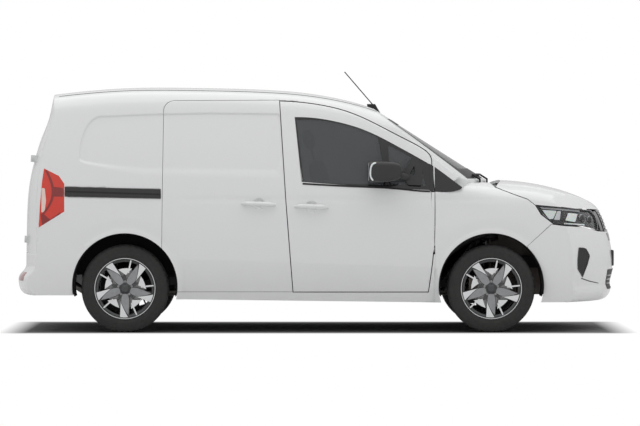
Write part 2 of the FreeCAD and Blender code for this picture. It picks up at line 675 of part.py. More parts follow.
# Front door with its bevelled front face, window and hinges
bevel_x = hinge_x - HINGE_AHEAD
bevel_far = -HALF_WIDTH / 2
bevel = polygon_xy([(bevel_x, -HALF_WIDTH), (bevel_x + OVERRUN, -HALF_WIDTH), (bevel_x + OVERRUN, bevel_far),
                    (bevel_x - HINGE_INBOARD, bevel_far),
                    (bevel_x - HINGE_INBOARD, hinge_y)], 0, level(BELT_SHARE))
front_door = cabin_shell.common(front_door_prism).cut(glass_prism).cut(bevel)
for z in hinge_levels:
    front_door = front_door.fuse(door_strap(z, SIDE_WALL / 2))
front_glass = glass_layer.common(glass_prism)

# Sliding door and its rail
sliding_door = cabin_shell.common(slide_prism).cut(rear_arch)
RAIL_DEPTH = 14.0
RAIL_PROUD = 6.0
rail_prism = side_prism([("straight", side_points(RAIL_SHARES))])
rail_layer = cabin_tube(-RAIL_PROUD, 0).cut(cabin_tube(RAIL_DEPTH - RAIL_PROUD, 0))

# Rear doors
door_tail_points = [(REAR_DOOR_HALF * wide, level(up)) for wide, up in REAR_DOOR_SHARES]
door_tail_points = [(REAR_DOOR_HALF, REAR_DOOR_BASE)] + door_tail_points
tail_from = REAR_END - OVERRUN
tail_to = station(TAIL_OUTLINE_SHARES[-1][0]) + OVERRUN + TAIL_SWEEP
split = -REAR_DOOR_SPLIT


def tail_face(y_low, y_high, grow):
    """The part of the rear opening between two distances from the middle."""
    half = [(y, z) for y, z in door_tail_points]
    loop = [(-y, z) for y, z in half] + [(y, z) for y, z in reversed(half[:-1])]
    block = polygon_yz(grown(loop, grow), tail_from, tail_to)
    return block.common(box((tail_from, y_low, 0), (tail_to, y_high, 2 * sky)))


tail_skin = cabin_outer.common(full_prism([(tail_from, 0), (tail_to, 0), (tail_to, 2 * sky),
                                           (tail_from, 2 * sky)]))
tail_skin = tail_skin.cut(cabin_block(TAIL_WALL, 0))
rear_opening = tail_face(-outside, outside, DOOR_GAP / 2)
lowered = Vector(0, 0, DOOR_GAP - REAR_TOP_GAP)
door_leaf_left = tail_face(split + DOOR_GAP / 2, outside, -DOOR_GAP / 2)
door_leaf_right = tail_face(-outside, split - DOOR_GAP / 2, -DOOR_GAP / 2)
rear_door_left = tail_skin.common(door_leaf_left).common(door_leaf_left.translated(lowered))
rear_door_right = tail_skin.common(door_leaf_right).common(door_leaf_right.translated(lowered))
rebate = box((tail_from, split - REAR_LEAF_REBATE / 2, 0), (tail_to, split + REAR_LEAF_REBATE / 2, 2 * sky))
rebate = rebate.common(cabin_block(REAR_LEAF_LIP, 0))
rear_door_left = rear_door_left.cut(rebate)
rear_door_right = rear_door_right.cut(rebate)
body_shell = cabin_shell.cut(rear_opening)
rear_hinge_y = REAR_DOOR_HALF
rear_hinge_levels = [LOWER_REAR_HINGE_Z, UPPER_REAR_HINGE_Z]


def leaned(shape, z):
    """A hinge piece drawn upright at the origin, moved onto the leaning right-hand hinge line."""
    shape = shape.copy()
    shape.rotate(Vector(0, 0, 0), Vector(0, 1, 0), math.degrees(math.atan(REAR_HINGE_LEAN_SHARE)))
    shape.translate(Vector(REAR_HINGE_FOOT_X + REAR_HINGE_LEAN_SHARE * z, -rear_hinge_y, z))
    return shape


def rear_strap(z):
    """Door half of a rear hinge: an eye and a leaf on the door's outer face."""
    half = REAR_HINGE_EYE_HEIGHT / 2
    eye = cylinder(REAR_HINGE_EYE_RADIUS, 2 * half, (0, 0, -half), (0, 0, 1))
    leaf = box((HINGE_PIN_RADIUS / 2, DOOR_GAP / 2, -half), (REAR_HINGE_LEAF, REAR_HINGE_LEAF, half))
    web = box((HINGE_PIN_RADIUS / 2, 0, -half), (REAR_HINGE_EYE_RADIUS, DOOR_GAP, half))
    bore = cylinder(HINGE_PIN_RADIUS + HINGE_FIT, 2 * half, (0, 0, -half), (0, 0, 1))
    return leaned(eye.fuse([leaf, web]).cut(bore), z)


def rear_bracket(z):
    """Body half of a rear hinge: a pin between two ears on a leaf at the body's corner."""
    half = REAR_HINGE_EYE_HEIGHT / 2 + HINGE_FIT
    ear = STRAP_THICKNESS
    pin = cylinder(HINGE_PIN_RADIUS, 2 * (half + ear), (0, 0, -half - ear), (0, 0, 1))
    leaf_y = -REAR_HINGE_EYE_RADIUS - PANEL_GAP
    pieces = [box((HINGE_PIN_RADIUS / 2, leaf_y - REAR_HINGE_LEAF / 2, -half - ear),
                  (REAR_HINGE_LEAF, leaf_y, half + ear))]
    for base in (-half - ear, half):
        pieces.append(cylinder(REAR_HINGE_EYE_RADIUS, ear, (0, 0, base), (0, 0, 1)))
        pieces.append(box((HINGE_PIN_RADIUS / 2, leaf_y - ear, base), (REAR_HINGE_EYE_RADIUS, 0, base + ear)))
    return leaned(pin.fuse(pieces), z)


for z in rear_hinge_levels:
    strap = rear_strap(z)
    rear_door_right = rear_door_right.fuse(strap.cut(cabin_inner))
    rear_door_left = rear_door_left.fuse(mirrored(strap).cut(cabin_inner))

# Windscreen, with its opening in the cabin
screen_points = [(-SCREEN_BASE_HALF, SCREEN_BASE), (-SCREEN_TOP_HALF, SCREEN_TOP),
                 (SCREEN_TOP_HALF, SCREEN_TOP), (SCREEN_BASE_HALF, SCREEN_BASE)]
screen_prism = polygon_yz(screen_points, station(FRONT_DOOR_TOP_SHARES[-1][0]), front_limit)
windscreen = glass_layer.common(screen_prism)

# Roof panel between the roof-edge strips
roof_zone = box((REAR_END, -ROOF_PANEL_HALF, ROOF_PANEL_BASE), (front_limit, ROOF_PANEL_HALF, sky + OVERRUN))
roof_panel = body_shell.common(roof_zone).cut(screen_prism)

# Tail lamps and rear bumper
lamp_prism = side_prism([("straight", side_points(TAIL_LAMP_SHARES))])
tail_lamp_right = cabin_tube(0, 0).cut(cabin_tube(TAIL_LAMP_WALL,
                                                  0)).common(lamp_prism).common(cabin_block(0, 0))
joint_points = side_points(REAR_BUMPER_JOINT_SHARES)
BUMPER_DEPTH = 64.0
BUMPER_BASE = 276.0
BUMPER_STEP = 585.0
BUMPER_OUTLINE_SHARES = [
    (-0.930, 0.3185), (-0.936, 0.262), (-0.950, 0.250), (-0.990, 0.229), (-1.000, 0.196), (-0.975, 0.163),
    (-0.908, 0.150)]


def bumper_form(y, share):
    """Side view of the rear bumper, swept forward towards its ends like the tail."""
    sweep = TAIL_SWEEP * share ** TAIL_SWEEP_POWER_SHARE
    places = [Vector(x + sweep, y, z) for x, z in side_points(BUMPER_OUTLINE_SHARES)]
    front_low = Vector(places[0].x + BUMPER_DEPTH, y, places[-1].z)
    front_high = Vector(places[0].x + BUMPER_DEPTH, y, places[0].z)
    return Part.Wire([spline(places), Part.makeLine(places[-1], front_low),
                      Part.makeLine(front_low, front_high), Part.makeLine(front_high, places[0])])


bumper_side = half_prism([(tail_from, BUMPER_BASE), (tail_from, BUMPER_STEP),
                          (joint_points[1][0] - BUMPER_DEPTH, BUMPER_STEP),
                          (joint_points[0][0] - BUMPER_DEPTH, joint_points[0][1] - OVERRUN / 2),
                          (joint_points[0][0] - DOOR_GAP * 2, joint_points[0][1] + DOOR_GAP * 2),
                          joint_points[0], joint_points[1], joint_points[2],
                          (joint_points[2][0] + OVERRUN, joint_points[2][1]),
                          (joint_points[2][0] + OVERRUN, BUMPER_BASE)])
bumper_rear = profile_loft(bumper_form).common(cabin_tube(0, 0))
bumper_cut = bumper_side.fuse(mirrored(bumper_side))
rear_bumper = body_shell.common(bumper_cut).fuse(bumper_rear)
rear_bumper = rear_bumper.cut(rear_arch).cut(mirrored(rear_arch)).cut(lamp_prism).cut(mirrored(lamp_prism))

# Body sides: what the doors, lamps, roof and bumpers leave, with the lower pillar behind the wing
side_zone = box((REAR_END - OVERRUN, -outside, 0), (front_limit, 0, sky + OVERRUN))
wing_zone = half_prism([(wing_start, 0), (wing_start, door_front[0][1]), bonnet_line[0], bonnet_line[1],
                        (front_limit, bonnet_line[1][1]), (front_limit, 0)])
sill_cut = half_prism([(tail_from, 0), (tail_from, BUMPER_BASE), (REAR_AXLE, BUMPER_BASE),
                       (REAR_AXLE, SILL_HEIGHT),
                       (FRONT_AXLE, level(0.118)), (FRONT_AXLE, 0)])


def body_side():
    """One side of the shell after its openings are cut, with the doors' hinge brackets."""
    side = body_shell.common(side_zone)
    for opening in [screen_prism, roof_zone, firewall_zone, front_opening, wing_zone.cut(pillar_form),
                    front_arch,
                    rear_arch, sill_cut, bumper_cut, bumper_rear, lamp_prism]:
        side = side.cut(opening)
    for z in hinge_levels:
        side = side.cut(hinge_pocket(z))
    brackets = [pillar_bracket(z) for z in hinge_levels] + [rear_bracket(z) for z in rear_hinge_levels]
    return side.fuse(brackets)


firewall_zone = box((station(SCREEN_BASE_STATION) - SCREEN_BASE_SWEEP / 2 - SCREEN_WALL, -FIREWALL_HALF, 0),
                    (front_limit, FIREWALL_HALF, SCREEN_BASE - OVERRUN))
firewall_base = box((0, -outside, CAB_FLOOR + TOE_RISE - FLOOR_THICKNESS), (front_limit, outside, sky))
firewall = body_shell.common(firewall_zone).common(firewall_base)
firewall = firewall.cut(front_arch).cut(mirrored(front_arch))
bracket = bonnet_bracket()
firewall = firewall.fuse([bracket, mirrored(bracket)])
plain_side = body_side()
side_left = mirrored(plain_side)
side_right = plain_side.cut(slide_opening).cut(rail_prism.common(rail_layer))
slide_rail = rail_layer.common(rail_prism)

# Floor, bulkhead and firewall span the cabin between the walls
cab_front = station(SCREEN_BASE_STATION) - SCREEN_WALL
bulkhead_x = station(BULKHEAD_STATION_SHARE)
floor_top = [(REAR_END + TAIL_WALL + OVERRUN, LOAD_FLOOR), (bulkhead_x - BULKHEAD_THICKNESS, LOAD_FLOOR),
             (bulkhead_x + OVERRUN, CAB_FLOOR), (cab_front - TOE_RUN, CAB_FLOOR),
             (cab_front, CAB_FLOOR + TOE_RISE)]
floor_low = [(x, z - FLOOR_THICKNESS) for x, z in reversed(floor_top)]
floor_band = full_prism([(floor_top[0][0] - OVERRUN, floor_top[0][1])] + floor_top + floor_low
                        + [(floor_top[0][0] - OVERRUN, floor_low[-1][1])])
wells = [front_arch, rear_arch, mirrored(front_arch), mirrored(rear_arch)]
floor_pan = cabin_inner.common(floor_band).cut(bumper_rear)
for well in wells:
    floor_pan = floor_pan.cut(well)
bulkhead_zone = box((bulkhead_x - BULKHEAD_THICKNESS, -outside, LOAD_FLOOR), (bulkhead_x, outside, sky))
bulkhead = cabin_inner.common(bulkhead_zone)
pieces = {"bonnet": bonnet, "scuttle": scuttle, "wing_right": wing_right, "wing_left": mirrored(wing_right),
          "front_bumper": front_bumper, "grille": grille,
          "headlamps": Part.makeCompound([headlamp_right, mirrored(headlamp_right)]),
          "tail_lamps": Part.makeCompound([tail_lamp_right, mirrored(tail_lamp_right)]),
          "rear_bumper": rear_bumper, "body_side_right": side_right, "body_side_left": side_left,
          "sliding_door": sliding_door, "slide_rail": slide_rail, "roof_panel": roof_panel,
          "windscreen": windscreen, "firewall": firewall, "floor_pan": floor_pan, "bulkhead": bulkhead,
          "front_door_right": front_door, "front_door_left": mirrored(front_door),
          "front_glass_right": front_glass, "front_glass_left": mirrored(front_glass),
          "rear_door_left": rear_door_left, "rear_door_right": rear_door_right}

# Liners: a part-round shell over each wheel, with an inner wall behind the rear wheels
LINER_BASE = 285.0
LINER_SIDE_GAP = 26.0


def arch_liner(x, inner_half, wall):
    """A wheel arch liner on the right-hand side."""
    width = HALF_WIDTH - LINER_SIDE_GAP - WING_WALL - inner_half
    centre = (x, -inner_half - width, WHEEL_Z + ARCH_RISE)
    shell = cylinder(liner_outer, width, centre,
                     (0, 1, 0)).cut(cylinder(LINER_RADIUS, width, centre, (0, 1, 0)))
    if wall:
        end = cylinder(liner_outer, LINER_WALL, (x, -inner_half - LINER_WALL, centre[2]), (0, 1, 0))
        shell = shell.fuse(end.cut(box((x - liner_outer, -outside, 0),
                                       (x + liner_outer, 0, WHEEL_Z + RIM_RADIUS / 2))))
    return shell.common(box((x - liner_outer, -outside, LINER_BASE), (x + liner_outer, 0, sky)))


front_liner = arch_liner(FRONT_AXLE, LINER_INNER_HALF + PANEL_GAP, False)
rear_liner = arch_liner(REAR_AXLE, REAR_LINER_INNER_HALF + PANEL_GAP, True)

# Wheels: tyre, rim with five broad and five thin spokes, hub and brake disc
half_tyre = TYRE_WIDTH / 2
half_tread = half_tyre - TYRE_SHOULDER / 2
half_bead = half_tyre - TYRE_BULGE


def turned(points, y_centre):
    """A solid of revolution about the wheel's own axis, from (radius, offset) points."""
    loop = [Vector(radius, y_centre + offset, 0) for radius, offset in points]
    face = Part.Face(Part.makePolygon(loop + loop[:1]))
    return face.revolve(Vector(0, 0, 0), Vector(0, 1, 0), 360)


def tyre(y_centre):
    """A plain tyre: tread, shoulders, sidewalls and beads."""
    bulge = (TYRE_RADIUS + RIM_LIP) / 2
    half = [(TYRE_RADIUS, half_tread - TYRE_SHOULDER / 2), (TYRE_RADIUS - TYRE_SHOULDER / 2, half_tread),
            (bulge, half_tyre), (RIM_LIP + RIM_TYRE_CLEARANCE, half_bead - RIM_LIP_DEPTH),
            (RIM_RADIUS + RIM_TYRE_CLEARANCE, half_bead - RIM_LIP_DEPTH)]
    return turned(half + [(radius, -offset) for radius, offset in reversed(half)], y_centre)


def rim(y_centre, side):
    """A light-alloy rim with its brake disc; side is -1 on the right and 1 on the left."""
    seat = half_bead - RIM_LIP_DEPTH + RIM_TYRE_CLEARANCE
    barrel = [(RIM_LIP, half_bead), (RIM_LIP, seat), (RIM_RADIUS, seat), (RIM_RADIUS, -seat),
              (RIM_LIP, -seat),
              (RIM_LIP, -half_bead), (RIM_RADIUS - RIM_WALL, -half_bead), (RIM_RADIUS - RIM_WALL, half_bead)]
    body = turned(barrel, y_centre)
    face_y = y_centre + side * (half_tyre - RIM_OFFSET)
    hub_back = y_centre + side * (half_tyre - RIM_OFFSET - HUB_DEPTH)
    hub = cylinder(HUB_RADIUS, HUB_DEPTH, (0, min(face_y, hub_back), 0), (0, 1, 0))
    pieces = [hub]
    for index in range(SPOKE_COUNT):
        angle = 360 * index / SPOKE_COUNT
        reach = RIM_RADIUS - RIM_WALL / 2
        broad = [(0, -SPOKE_HUB_WIDTH / 2), (reach, -SPOKE_RIM_WIDTH / 2), (reach, SPOKE_RIM_WIDTH / 2),
                 (0, SPOKE_HUB_WIDTH / 2)]
        loop = [Vector(x, face_y, z) for x, z in broad]
        spoke = Part.Face(Part.makePolygon(loop + loop[:1])).extrude(Vector(0, -side * SPOKE_DEPTH, 0))
        spoke.rotate(Vector(0, 0, 0), Vector(0, 1, 0), angle)
        pieces.append(spoke)
        thin_y = face_y - side * THIN_SPOKE_DEPTH
        thin = box((0, min(face_y, thin_y), -THIN_SPOKE_WIDTH / 2),
                   (reach, max(face_y, thin_y), THIN_SPOKE_WIDTH / 2))
        thin.rotate(Vector(0, 0, 0), Vector(0, 1, 0), angle + 180 / SPOKE_COUNT)
        pieces.append(thin)
    disc_y = y_centre + side * (half_tyre - RIM_OFFSET - DISC_FACE_INSET - DISC_THICKNESS)
    disc_end = disc_y + side * DISC_THICKNESS
    disc = cylinder(DISC_RADIUS, DISC_THICKNESS, (0, min(disc_y, disc_end), 0), (0, 1, 0))
    bell = cylinder(HUB_RADIUS, abs(hub_back - disc_y), (0, min(hub_back, disc_y), 0), (0, 1, 0))
    body = body.fuse(pieces + [disc, bell])
    bore_y = y_centre - half_tyre
    return body.cut(cylinder(SPINDLE_RADIUS + RIM_TYRE_CLEARANCE, half_tyre + half_tyre * side * side,
                             (0, bore_y, 0), (0, 1, 0)).cut(cap_block(y_centre, side)))


def cap_block(y_centre, side):
    """The part of the hub that closes the spindle's bore on the outside."""
    face_y = y_centre + side * (half_tyre - RIM_OFFSET)
    back_y = face_y - side * SPOKE_DEPTH
    return cylinder(HUB_RADIUS, SPOKE_DEPTH, (0, min(face_y, back_y), 0), (0, 1, 0))


def at_wheel(shape, x):
    """A wheel piece moved to its axle."""
    shape = shape.copy()
    shape.translate(Vector(x, 0, WHEEL_Z))
    return shape


wheel_places = {"front_right": (FRONT_AXLE, -1), "front_left": (FRONT_AXLE, 1),
                "rear_right": (REAR_AXLE, -1), "rear_left": (REAR_AXLE, 1)}
tyres = {side: tyre(side * HALF_TRACK) for side in (-1, 1)}
rims = {side: rim(side * HALF_TRACK, side) for side in (-1, 1)}
for name, (x, side) in wheel_places.items():
    pieces["tyre_" + name] = at_wheel(tyres[side], x)
    pieces["rim_" + name] = at_wheel(rims[side], x)

# Front suspension: knuckle with strut tube and caliper, on the steering axis
ball = Vector(FRONT_AXLE, -BALL_JOINT_Y, BALL_JOINT_Z)
strut_top = Vector(FRONT_AXLE, -STRUT_TOP_Y, STRUT_TOP_Z)
lean = strut_top - ball
lean.normalize()
disc_inner = HALF_TRACK + half_tyre - RIM_OFFSET - DISC_FACE_INSET - DISC_THICKNESS
STRUT_LENGTH_SHARE = 0.62
ROD_RADIUS = 11.0
SPRING_RADIUS = 62.0
SPRING_START_SHARE = 0.70
CALIPER_LENGTH = 150.0
CALIPER_DEPTH = 46.0
CALIPER_WIDTH = 64.0


def knuckle_right():
    """Steering knuckle: upright, spindle, strut tube and caliper."""
    upright_y = -disc_inner + PANEL_GAP * 2 + RIM_TYRE_CLEARANCE
    mid_y = -BALL_JOINT_Y
    upright = polygon_yz([(upright_y, WHEEL_Z - UPRIGHT_WIDTH / 2), (upright_y, WHEEL_Z + UPRIGHT_WIDTH / 2),
                          (mid_y + BALL_RADIUS, WHEEL_Z + UPRIGHT_WIDTH * 2),
                          (mid_y + UPRIGHT_WIDTH, WHEEL_Z + UPRIGHT_WIDTH * 2),
                          (mid_y + BALL_RADIUS * 3, WHEEL_Z - BALL_RADIUS),
                          (mid_y + BALL_RADIUS, BALL_JOINT_Z + BALL_RADIUS),
                          (mid_y - BALL_RADIUS, BALL_JOINT_Z + BALL_RADIUS)],
                         FRONT_AXLE - UPRIGHT_WIDTH / 2, FRONT_AXLE + UPRIGHT_WIDTH / 2)
    spindle_end = -(HALF_TRACK + half_tyre - RIM_OFFSET - SPOKE_DEPTH - PANEL_GAP)
    spindle = cylinder(SPINDLE_RADIUS, mid_y - spindle_end,
                       (FRONT_AXLE, spindle_end, WHEEL_Z), (0, 1, 0))
    strut_low = ball + lean * (strut_top - ball).Length * 0.26
    strut = bar(STRUT_RADIUS, strut_low, ball + lean * (strut_top - ball).Length * STRUT_LENGTH_SHARE)
    rod = bar(ROD_RADIUS, strut_low, strut_top)
    caliper_x = FRONT_AXLE - DISC_RADIUS - CALIPER_WIDTH / 3
    caliper = box((caliper_x, -disc_inner - DISC_THICKNESS - CALIPER_DEPTH / 3, WHEEL_Z - CALIPER_LENGTH / 2),
                  (caliper_x + CALIPER_WIDTH, upright_y + UPRIGHT_THICKNESS, WHEEL_Z + CALIPER_LENGTH / 2))
    slot = cylinder(DISC_RADIUS + PANEL_GAP * 2, DISC_THICKNESS + PANEL_GAP * 2,
                    (FRONT_AXLE, -disc_inner - DISC_THICKNESS - PANEL_GAP, WHEEL_Z), (0, 1, 0))
    bridge = box((caliper_x + CALIPER_WIDTH / 2, upright_y, WHEEL_Z - UPRIGHT_WIDTH / 2),
                 (FRONT_AXLE, upright_y + UPRIGHT_THICKNESS, WHEEL_Z + UPRIGHT_WIDTH / 2))
    stud = cylinder(BALL_RADIUS / 2, BALL_RADIUS * 2, (ball.x, ball.y, ball.z), (0, 0, 1))
    knob = Part.makeSphere(BALL_RADIUS, ball)
    return upright.fuse([spindle, strut, rod, caliper.cut(slot), bridge, stud, knob])


knuckle = knuckle_right()
front_liner = solid_of(front_liner.cut(bar(SPRING_RADIUS + DOOR_GAP, ball, strut_top + lean * OVERRUN)))
spring = bar(SPRING_RADIUS, ball + lean * (strut_top - ball).Length * SPRING_START_SHARE, strut_top)
spring = spring.cut(bar(ROD_RADIUS + RIM_TYRE_CLEARANCE, ball, strut_top))

# Front cross member with lower arms, the chassis rails and the engine
arm_inner = RAIL_Y - RAIL_WIDTH / 2
arm_z = BALL_JOINT_Z - ARM_WIDTH / 4
arm = polygon_xy([(FRONT_AXLE + ARM_WIDTH / 2, -BALL_JOINT_Y - ARM_WIDTH / 2),
                  (FRONT_AXLE + ARM_WIDTH / 2, -BALL_JOINT_Y + 3 * ARM_WIDTH),
                  (FRONT_AXLE + 2 * ARM_WIDTH, -arm_inner), (FRONT_AXLE - 4 * ARM_WIDTH, -arm_inner),
                  (FRONT_AXLE - 2 * ARM_WIDTH, -BALL_JOINT_Y + 4 * ARM_WIDTH),
                  (FRONT_AXLE - ARM_WIDTH / 2, -BALL_JOINT_Y + 3 * ARM_WIDTH),
                  (FRONT_AXLE - ARM_WIDTH / 2, -BALL_JOINT_Y - ARM_WIDTH / 2)],
                 arm_z, arm_z + ARM_WIDTH / 2)
arm = arm.cut(Part.makeSphere(BALL_RADIUS + RIM_TYRE_CLEARANCE, ball))
arm = arm.cut(cylinder(BALL_RADIUS, ARM_WIDTH, (ball.x, ball.y, ball.z), (0, 0, 1)))
cross = box((FRONT_AXLE - 4 * ARM_WIDTH, -arm_inner, arm_z - ARM_WIDTH / 4),
            (FRONT_AXLE + 2 * ARM_WIDTH, arm_inner, arm_z + ARM_WIDTH))
tower = box((FRONT_AXLE - 2 * ARM_WIDTH, -arm_inner - RAIL_WIDTH, arm_z),
            (FRONT_AXLE - ARM_WIDTH, -arm_inner + ARM_WIDTH, RAIL_Z))
subframe = cross.fuse([arm, mirrored(arm), tower, mirrored(tower)])
rail_front = FRONT_END - BUMPER_WALL - NOSE_SWEEP / 4
front_rail = box((cab_front - OVERRUN, -RAIL_Y - RAIL_WIDTH / 2, RAIL_Z),
                 (rail_front, -RAIL_Y + RAIL_WIDTH / 2, RAIL_Z + RAIL_HEIGHT))
engine_base = arm_z + ARM_WIDTH
engine_low = (station(SCREEN_BASE_STATION) + ENGINE_SETBACK, -ENGINE_WIDTH / 2, engine_base)
engine_block = box(engine_low, (engine_low[0] + ENGINE_LENGTH, ENGINE_WIDTH / 2, engine_base + ENGINE_HEIGHT))

# Rear axle: torsion beam, trailing arms, spindles and springs
BEAM_AHEAD = 230.0
ARM_PIVOT_AHEAD = 470.0
SPRING_AHEAD = 90.0
REAR_SPRING_RADIUS = 55.0
REAR_ARM_Y = 615.0
PIVOT_LENGTH = 120.0
beam_z = WHEEL_Z + ARM_WIDTH / 2
floor_under = LOAD_FLOOR - FLOOR_THICKNESS
rail_under = floor_under - RAIL_HEIGHT
pivot = Vector(REAR_AXLE + ARM_PIVOT_AHEAD, -REAR_ARM_Y, rail_under - ARM_WIDTH / 2 - RIM_TYRE_CLEARANCE)
REAR_RAIL_Y = 545.0


def trailing_arm():
    """One trailing arm with its pivot bush, spindle and spring seat."""
    inner = -REAR_ARM_Y + ARM_WIDTH / 2
    side = polygon_xz([(REAR_AXLE - ARM_WIDTH, WHEEL_Z - ARM_WIDTH / 2),
                       (REAR_AXLE - ARM_WIDTH, WHEEL_Z + ARM_WIDTH / 2),
                       (pivot.x, pivot.z + ARM_WIDTH / 2), (pivot.x, pivot.z - ARM_WIDTH / 2),
                       (REAR_AXLE + ARM_WIDTH, WHEEL_Z - ARM_WIDTH / 2)], inner - ARM_WIDTH, inner)
    bush = cylinder(ARM_WIDTH / 2, PIVOT_LENGTH, (pivot.x, pivot.y - PIVOT_LENGTH / 2, pivot.z), (0, 1, 0))
    spindle_end = -(HALF_TRACK + half_tyre - RIM_OFFSET - SPOKE_DEPTH - PANEL_GAP)
    spindle = cylinder(SPINDLE_RADIUS, inner - spindle_end, (REAR_AXLE, spindle_end, WHEEL_Z), (0, 1, 0))
    carrier = cylinder(UPRIGHT_WIDTH, disc_inner - PANEL_GAP * 2 + inner,
                       (REAR_AXLE, -disc_inner + PANEL_GAP * 2, WHEEL_Z), (0, 1, 0))
    seat_y = -REAR_RAIL_Y
    seat = box((REAR_AXLE + SPRING_AHEAD - REAR_SPRING_RADIUS, inner - ARM_WIDTH / 2, beam_z - ARM_WIDTH / 2),
               (REAR_AXLE + SPRING_AHEAD + REAR_SPRING_RADIUS, seat_y + REAR_SPRING_RADIUS, beam_z))
    coil = cylinder(REAR_SPRING_RADIUS, rail_under - beam_z, (REAR_AXLE + SPRING_AHEAD, seat_y, beam_z),
                    (0, 0, 1))
    return side.fuse([bush, spindle, carrier, seat, coil])


beam = cylinder(AXLE_BEAM_RADIUS, 2 * REAR_ARM_Y, (REAR_AXLE + BEAM_AHEAD, -REAR_ARM_Y, beam_z), (0, 1, 0))
arm_right = trailing_arm()
rear_axle = beam.fuse([arm_right, mirrored(arm_right)])

# Chassis rails under the floor carry the axle pivots, and the front ones the engine and bumper
rear_rail = box((REAR_END + BUMPER_DEPTH + 2 * OVERRUN, -REAR_RAIL_Y - RAIL_WIDTH / 2,
                 floor_under - RAIL_HEIGHT),
                (bulkhead_x - OVERRUN, -REAR_RAIL_Y + RAIL_WIDTH / 2, floor_under))
TOW_HOLE_RADIUS = 6.5
TOW_HOLE_X = -2000.0
TOW_HOLE_SPACING = 120.0
for offset in (-TOW_HOLE_SPACING / 2, TOW_HOLE_SPACING / 2):
    hole_base = (TOW_HOLE_X + offset, -REAR_RAIL_Y, floor_under - RAIL_HEIGHT - OVERRUN)
    rear_rail = rear_rail.cut(cylinder(TOW_HOLE_RADIUS, RAIL_HEIGHT + OVERRUN, hole_base, (0, 0, 1)))

# Tank and exhaust under the floor
tank_low = (REAR_AXLE + ARM_PIVOT_AHEAD + OVERRUN * 2, -TANK_WIDTH / 2, floor_under - TANK_HEIGHT)
tank = box(tank_low, (tank_low[0] + TANK_LENGTH, TANK_WIDTH / 2, floor_under))
MUFFLER_LENGTH = 420.0
MUFFLER_SETBACK = 110.0
MUFFLER_Z = 400.0
PIPE_Z = 262.0
PIPE_ENGINE_Z = 332.0
muffler_x = REAR_END + MUFFLER_RADIUS + TAIL_WALL + MUFFLER_SETBACK
muffler = cylinder(MUFFLER_RADIUS, MUFFLER_LENGTH, (muffler_x, -MUFFLER_LENGTH / 2, MUFFLER_Z), (0, 1, 0))
hanger = box((muffler_x - ARM_WIDTH / 2, -MUFFLER_LENGTH / 4, MUFFLER_Z),
             (muffler_x + ARM_WIDTH / 2, MUFFLER_LENGTH / 4, floor_under))
pipe_y = TANK_WIDTH / 2 + EXHAUST_RADIUS * 2
pipe_start_y = MUFFLER_LENGTH / 2 - EXHAUST_RADIUS * 2
pipe_points = [Vector(muffler_x, pipe_start_y, MUFFLER_Z),
               Vector(muffler_x + MUFFLER_LENGTH / 2, pipe_start_y, PIPE_Z),
               Vector(tank_low[0], pipe_y, PIPE_Z),
               Vector(cab_front - TOE_RUN, pipe_y, PIPE_Z),
               Vector(cab_front - TOE_RUN * 2 / 3, ENGINE_WIDTH / 3, PIPE_ENGINE_Z),
               Vector(engine_low[0] + EXHAUST_RADIUS, ENGINE_WIDTH / 3, PIPE_ENGINE_Z)]
exhaust = muffler.fuse([hanger] + [bar(EXHAUST_RADIUS, start, end) for start,
                                   end in zip(pipe_points, pipe_points[1:])]
                       + [Part.makeSphere(EXHAUST_RADIUS, place) for place in pipe_points[1:-1]])
exhaust = solid_of(exhaust.cut(engine_block))

# Seats, dashboard and steering wheel
SEAT_EDGE = 40.0


def seat(y_centre):
    """A cab seat: base, cushion, leaning back and headrest on two posts."""
    half = SEAT_WIDTH / 2
    base = box((SEAT_REAR_X + SEAT_EDGE, y_centre - half + SEAT_EDGE, CAB_FLOOR),
               (SEAT_REAR_X + SEAT_CUSHION_DEPTH - SEAT_EDGE, y_centre + half - SEAT_EDGE,
                CAB_FLOOR + SEAT_BASE_HEIGHT))
    cushion_low = CAB_FLOOR + SEAT_BASE_HEIGHT
    cushion = box((SEAT_REAR_X, y_centre - half, cushion_low),
                  (SEAT_REAR_X + SEAT_CUSHION_DEPTH, y_centre + half, cushion_low + SEAT_CUSHION_HEIGHT))
    cushion = cushion.makeFillet(SEAT_EDGE, cushion.Edges)
    back_low = cushion_low + SEAT_CUSHION_HEIGHT / 2
    back = box((SEAT_REAR_X - SEAT_BACK_DEPTH / 2, y_centre - half, back_low),
               (SEAT_REAR_X + SEAT_BACK_DEPTH / 2, y_centre + half, back_low + SEAT_BACK_HEIGHT))
    back = back.makeFillet(SEAT_EDGE, back.Edges)
    top = back_low + SEAT_BACK_HEIGHT + HEADREST_GAP
    rest = box((SEAT_REAR_X - HEADREST_DEPTH / 2, y_centre - HEADREST_WIDTH / 2, top),
               (SEAT_REAR_X + HEADREST_DEPTH / 2, y_centre + HEADREST_WIDTH / 2, top + HEADREST_HEIGHT))
    rest = rest.makeFillet(SEAT_EDGE, rest.Edges)
    posts = [cylinder(HEADREST_POST_RADIUS, 2 * HEADREST_GAP + SEAT_EDGE,
                      (SEAT_REAR_X, y_centre + offset, top - 2 * HEADREST_GAP), (0, 0, 1))
             for offset in (-HEADREST_WIDTH / 4, HEADREST_WIDTH / 4)]
    upper = back.fuse([rest] + posts)
    upper.rotate(Vector(SEAT_REAR_X, y_centre, back_low), Vector(0, 1, 0), -SEAT_BACK_LEAN)
    upper.translate(Vector(SEAT_BACK_DEPTH * 0.3, 0, 0))
    return base.fuse([cushion, upper])


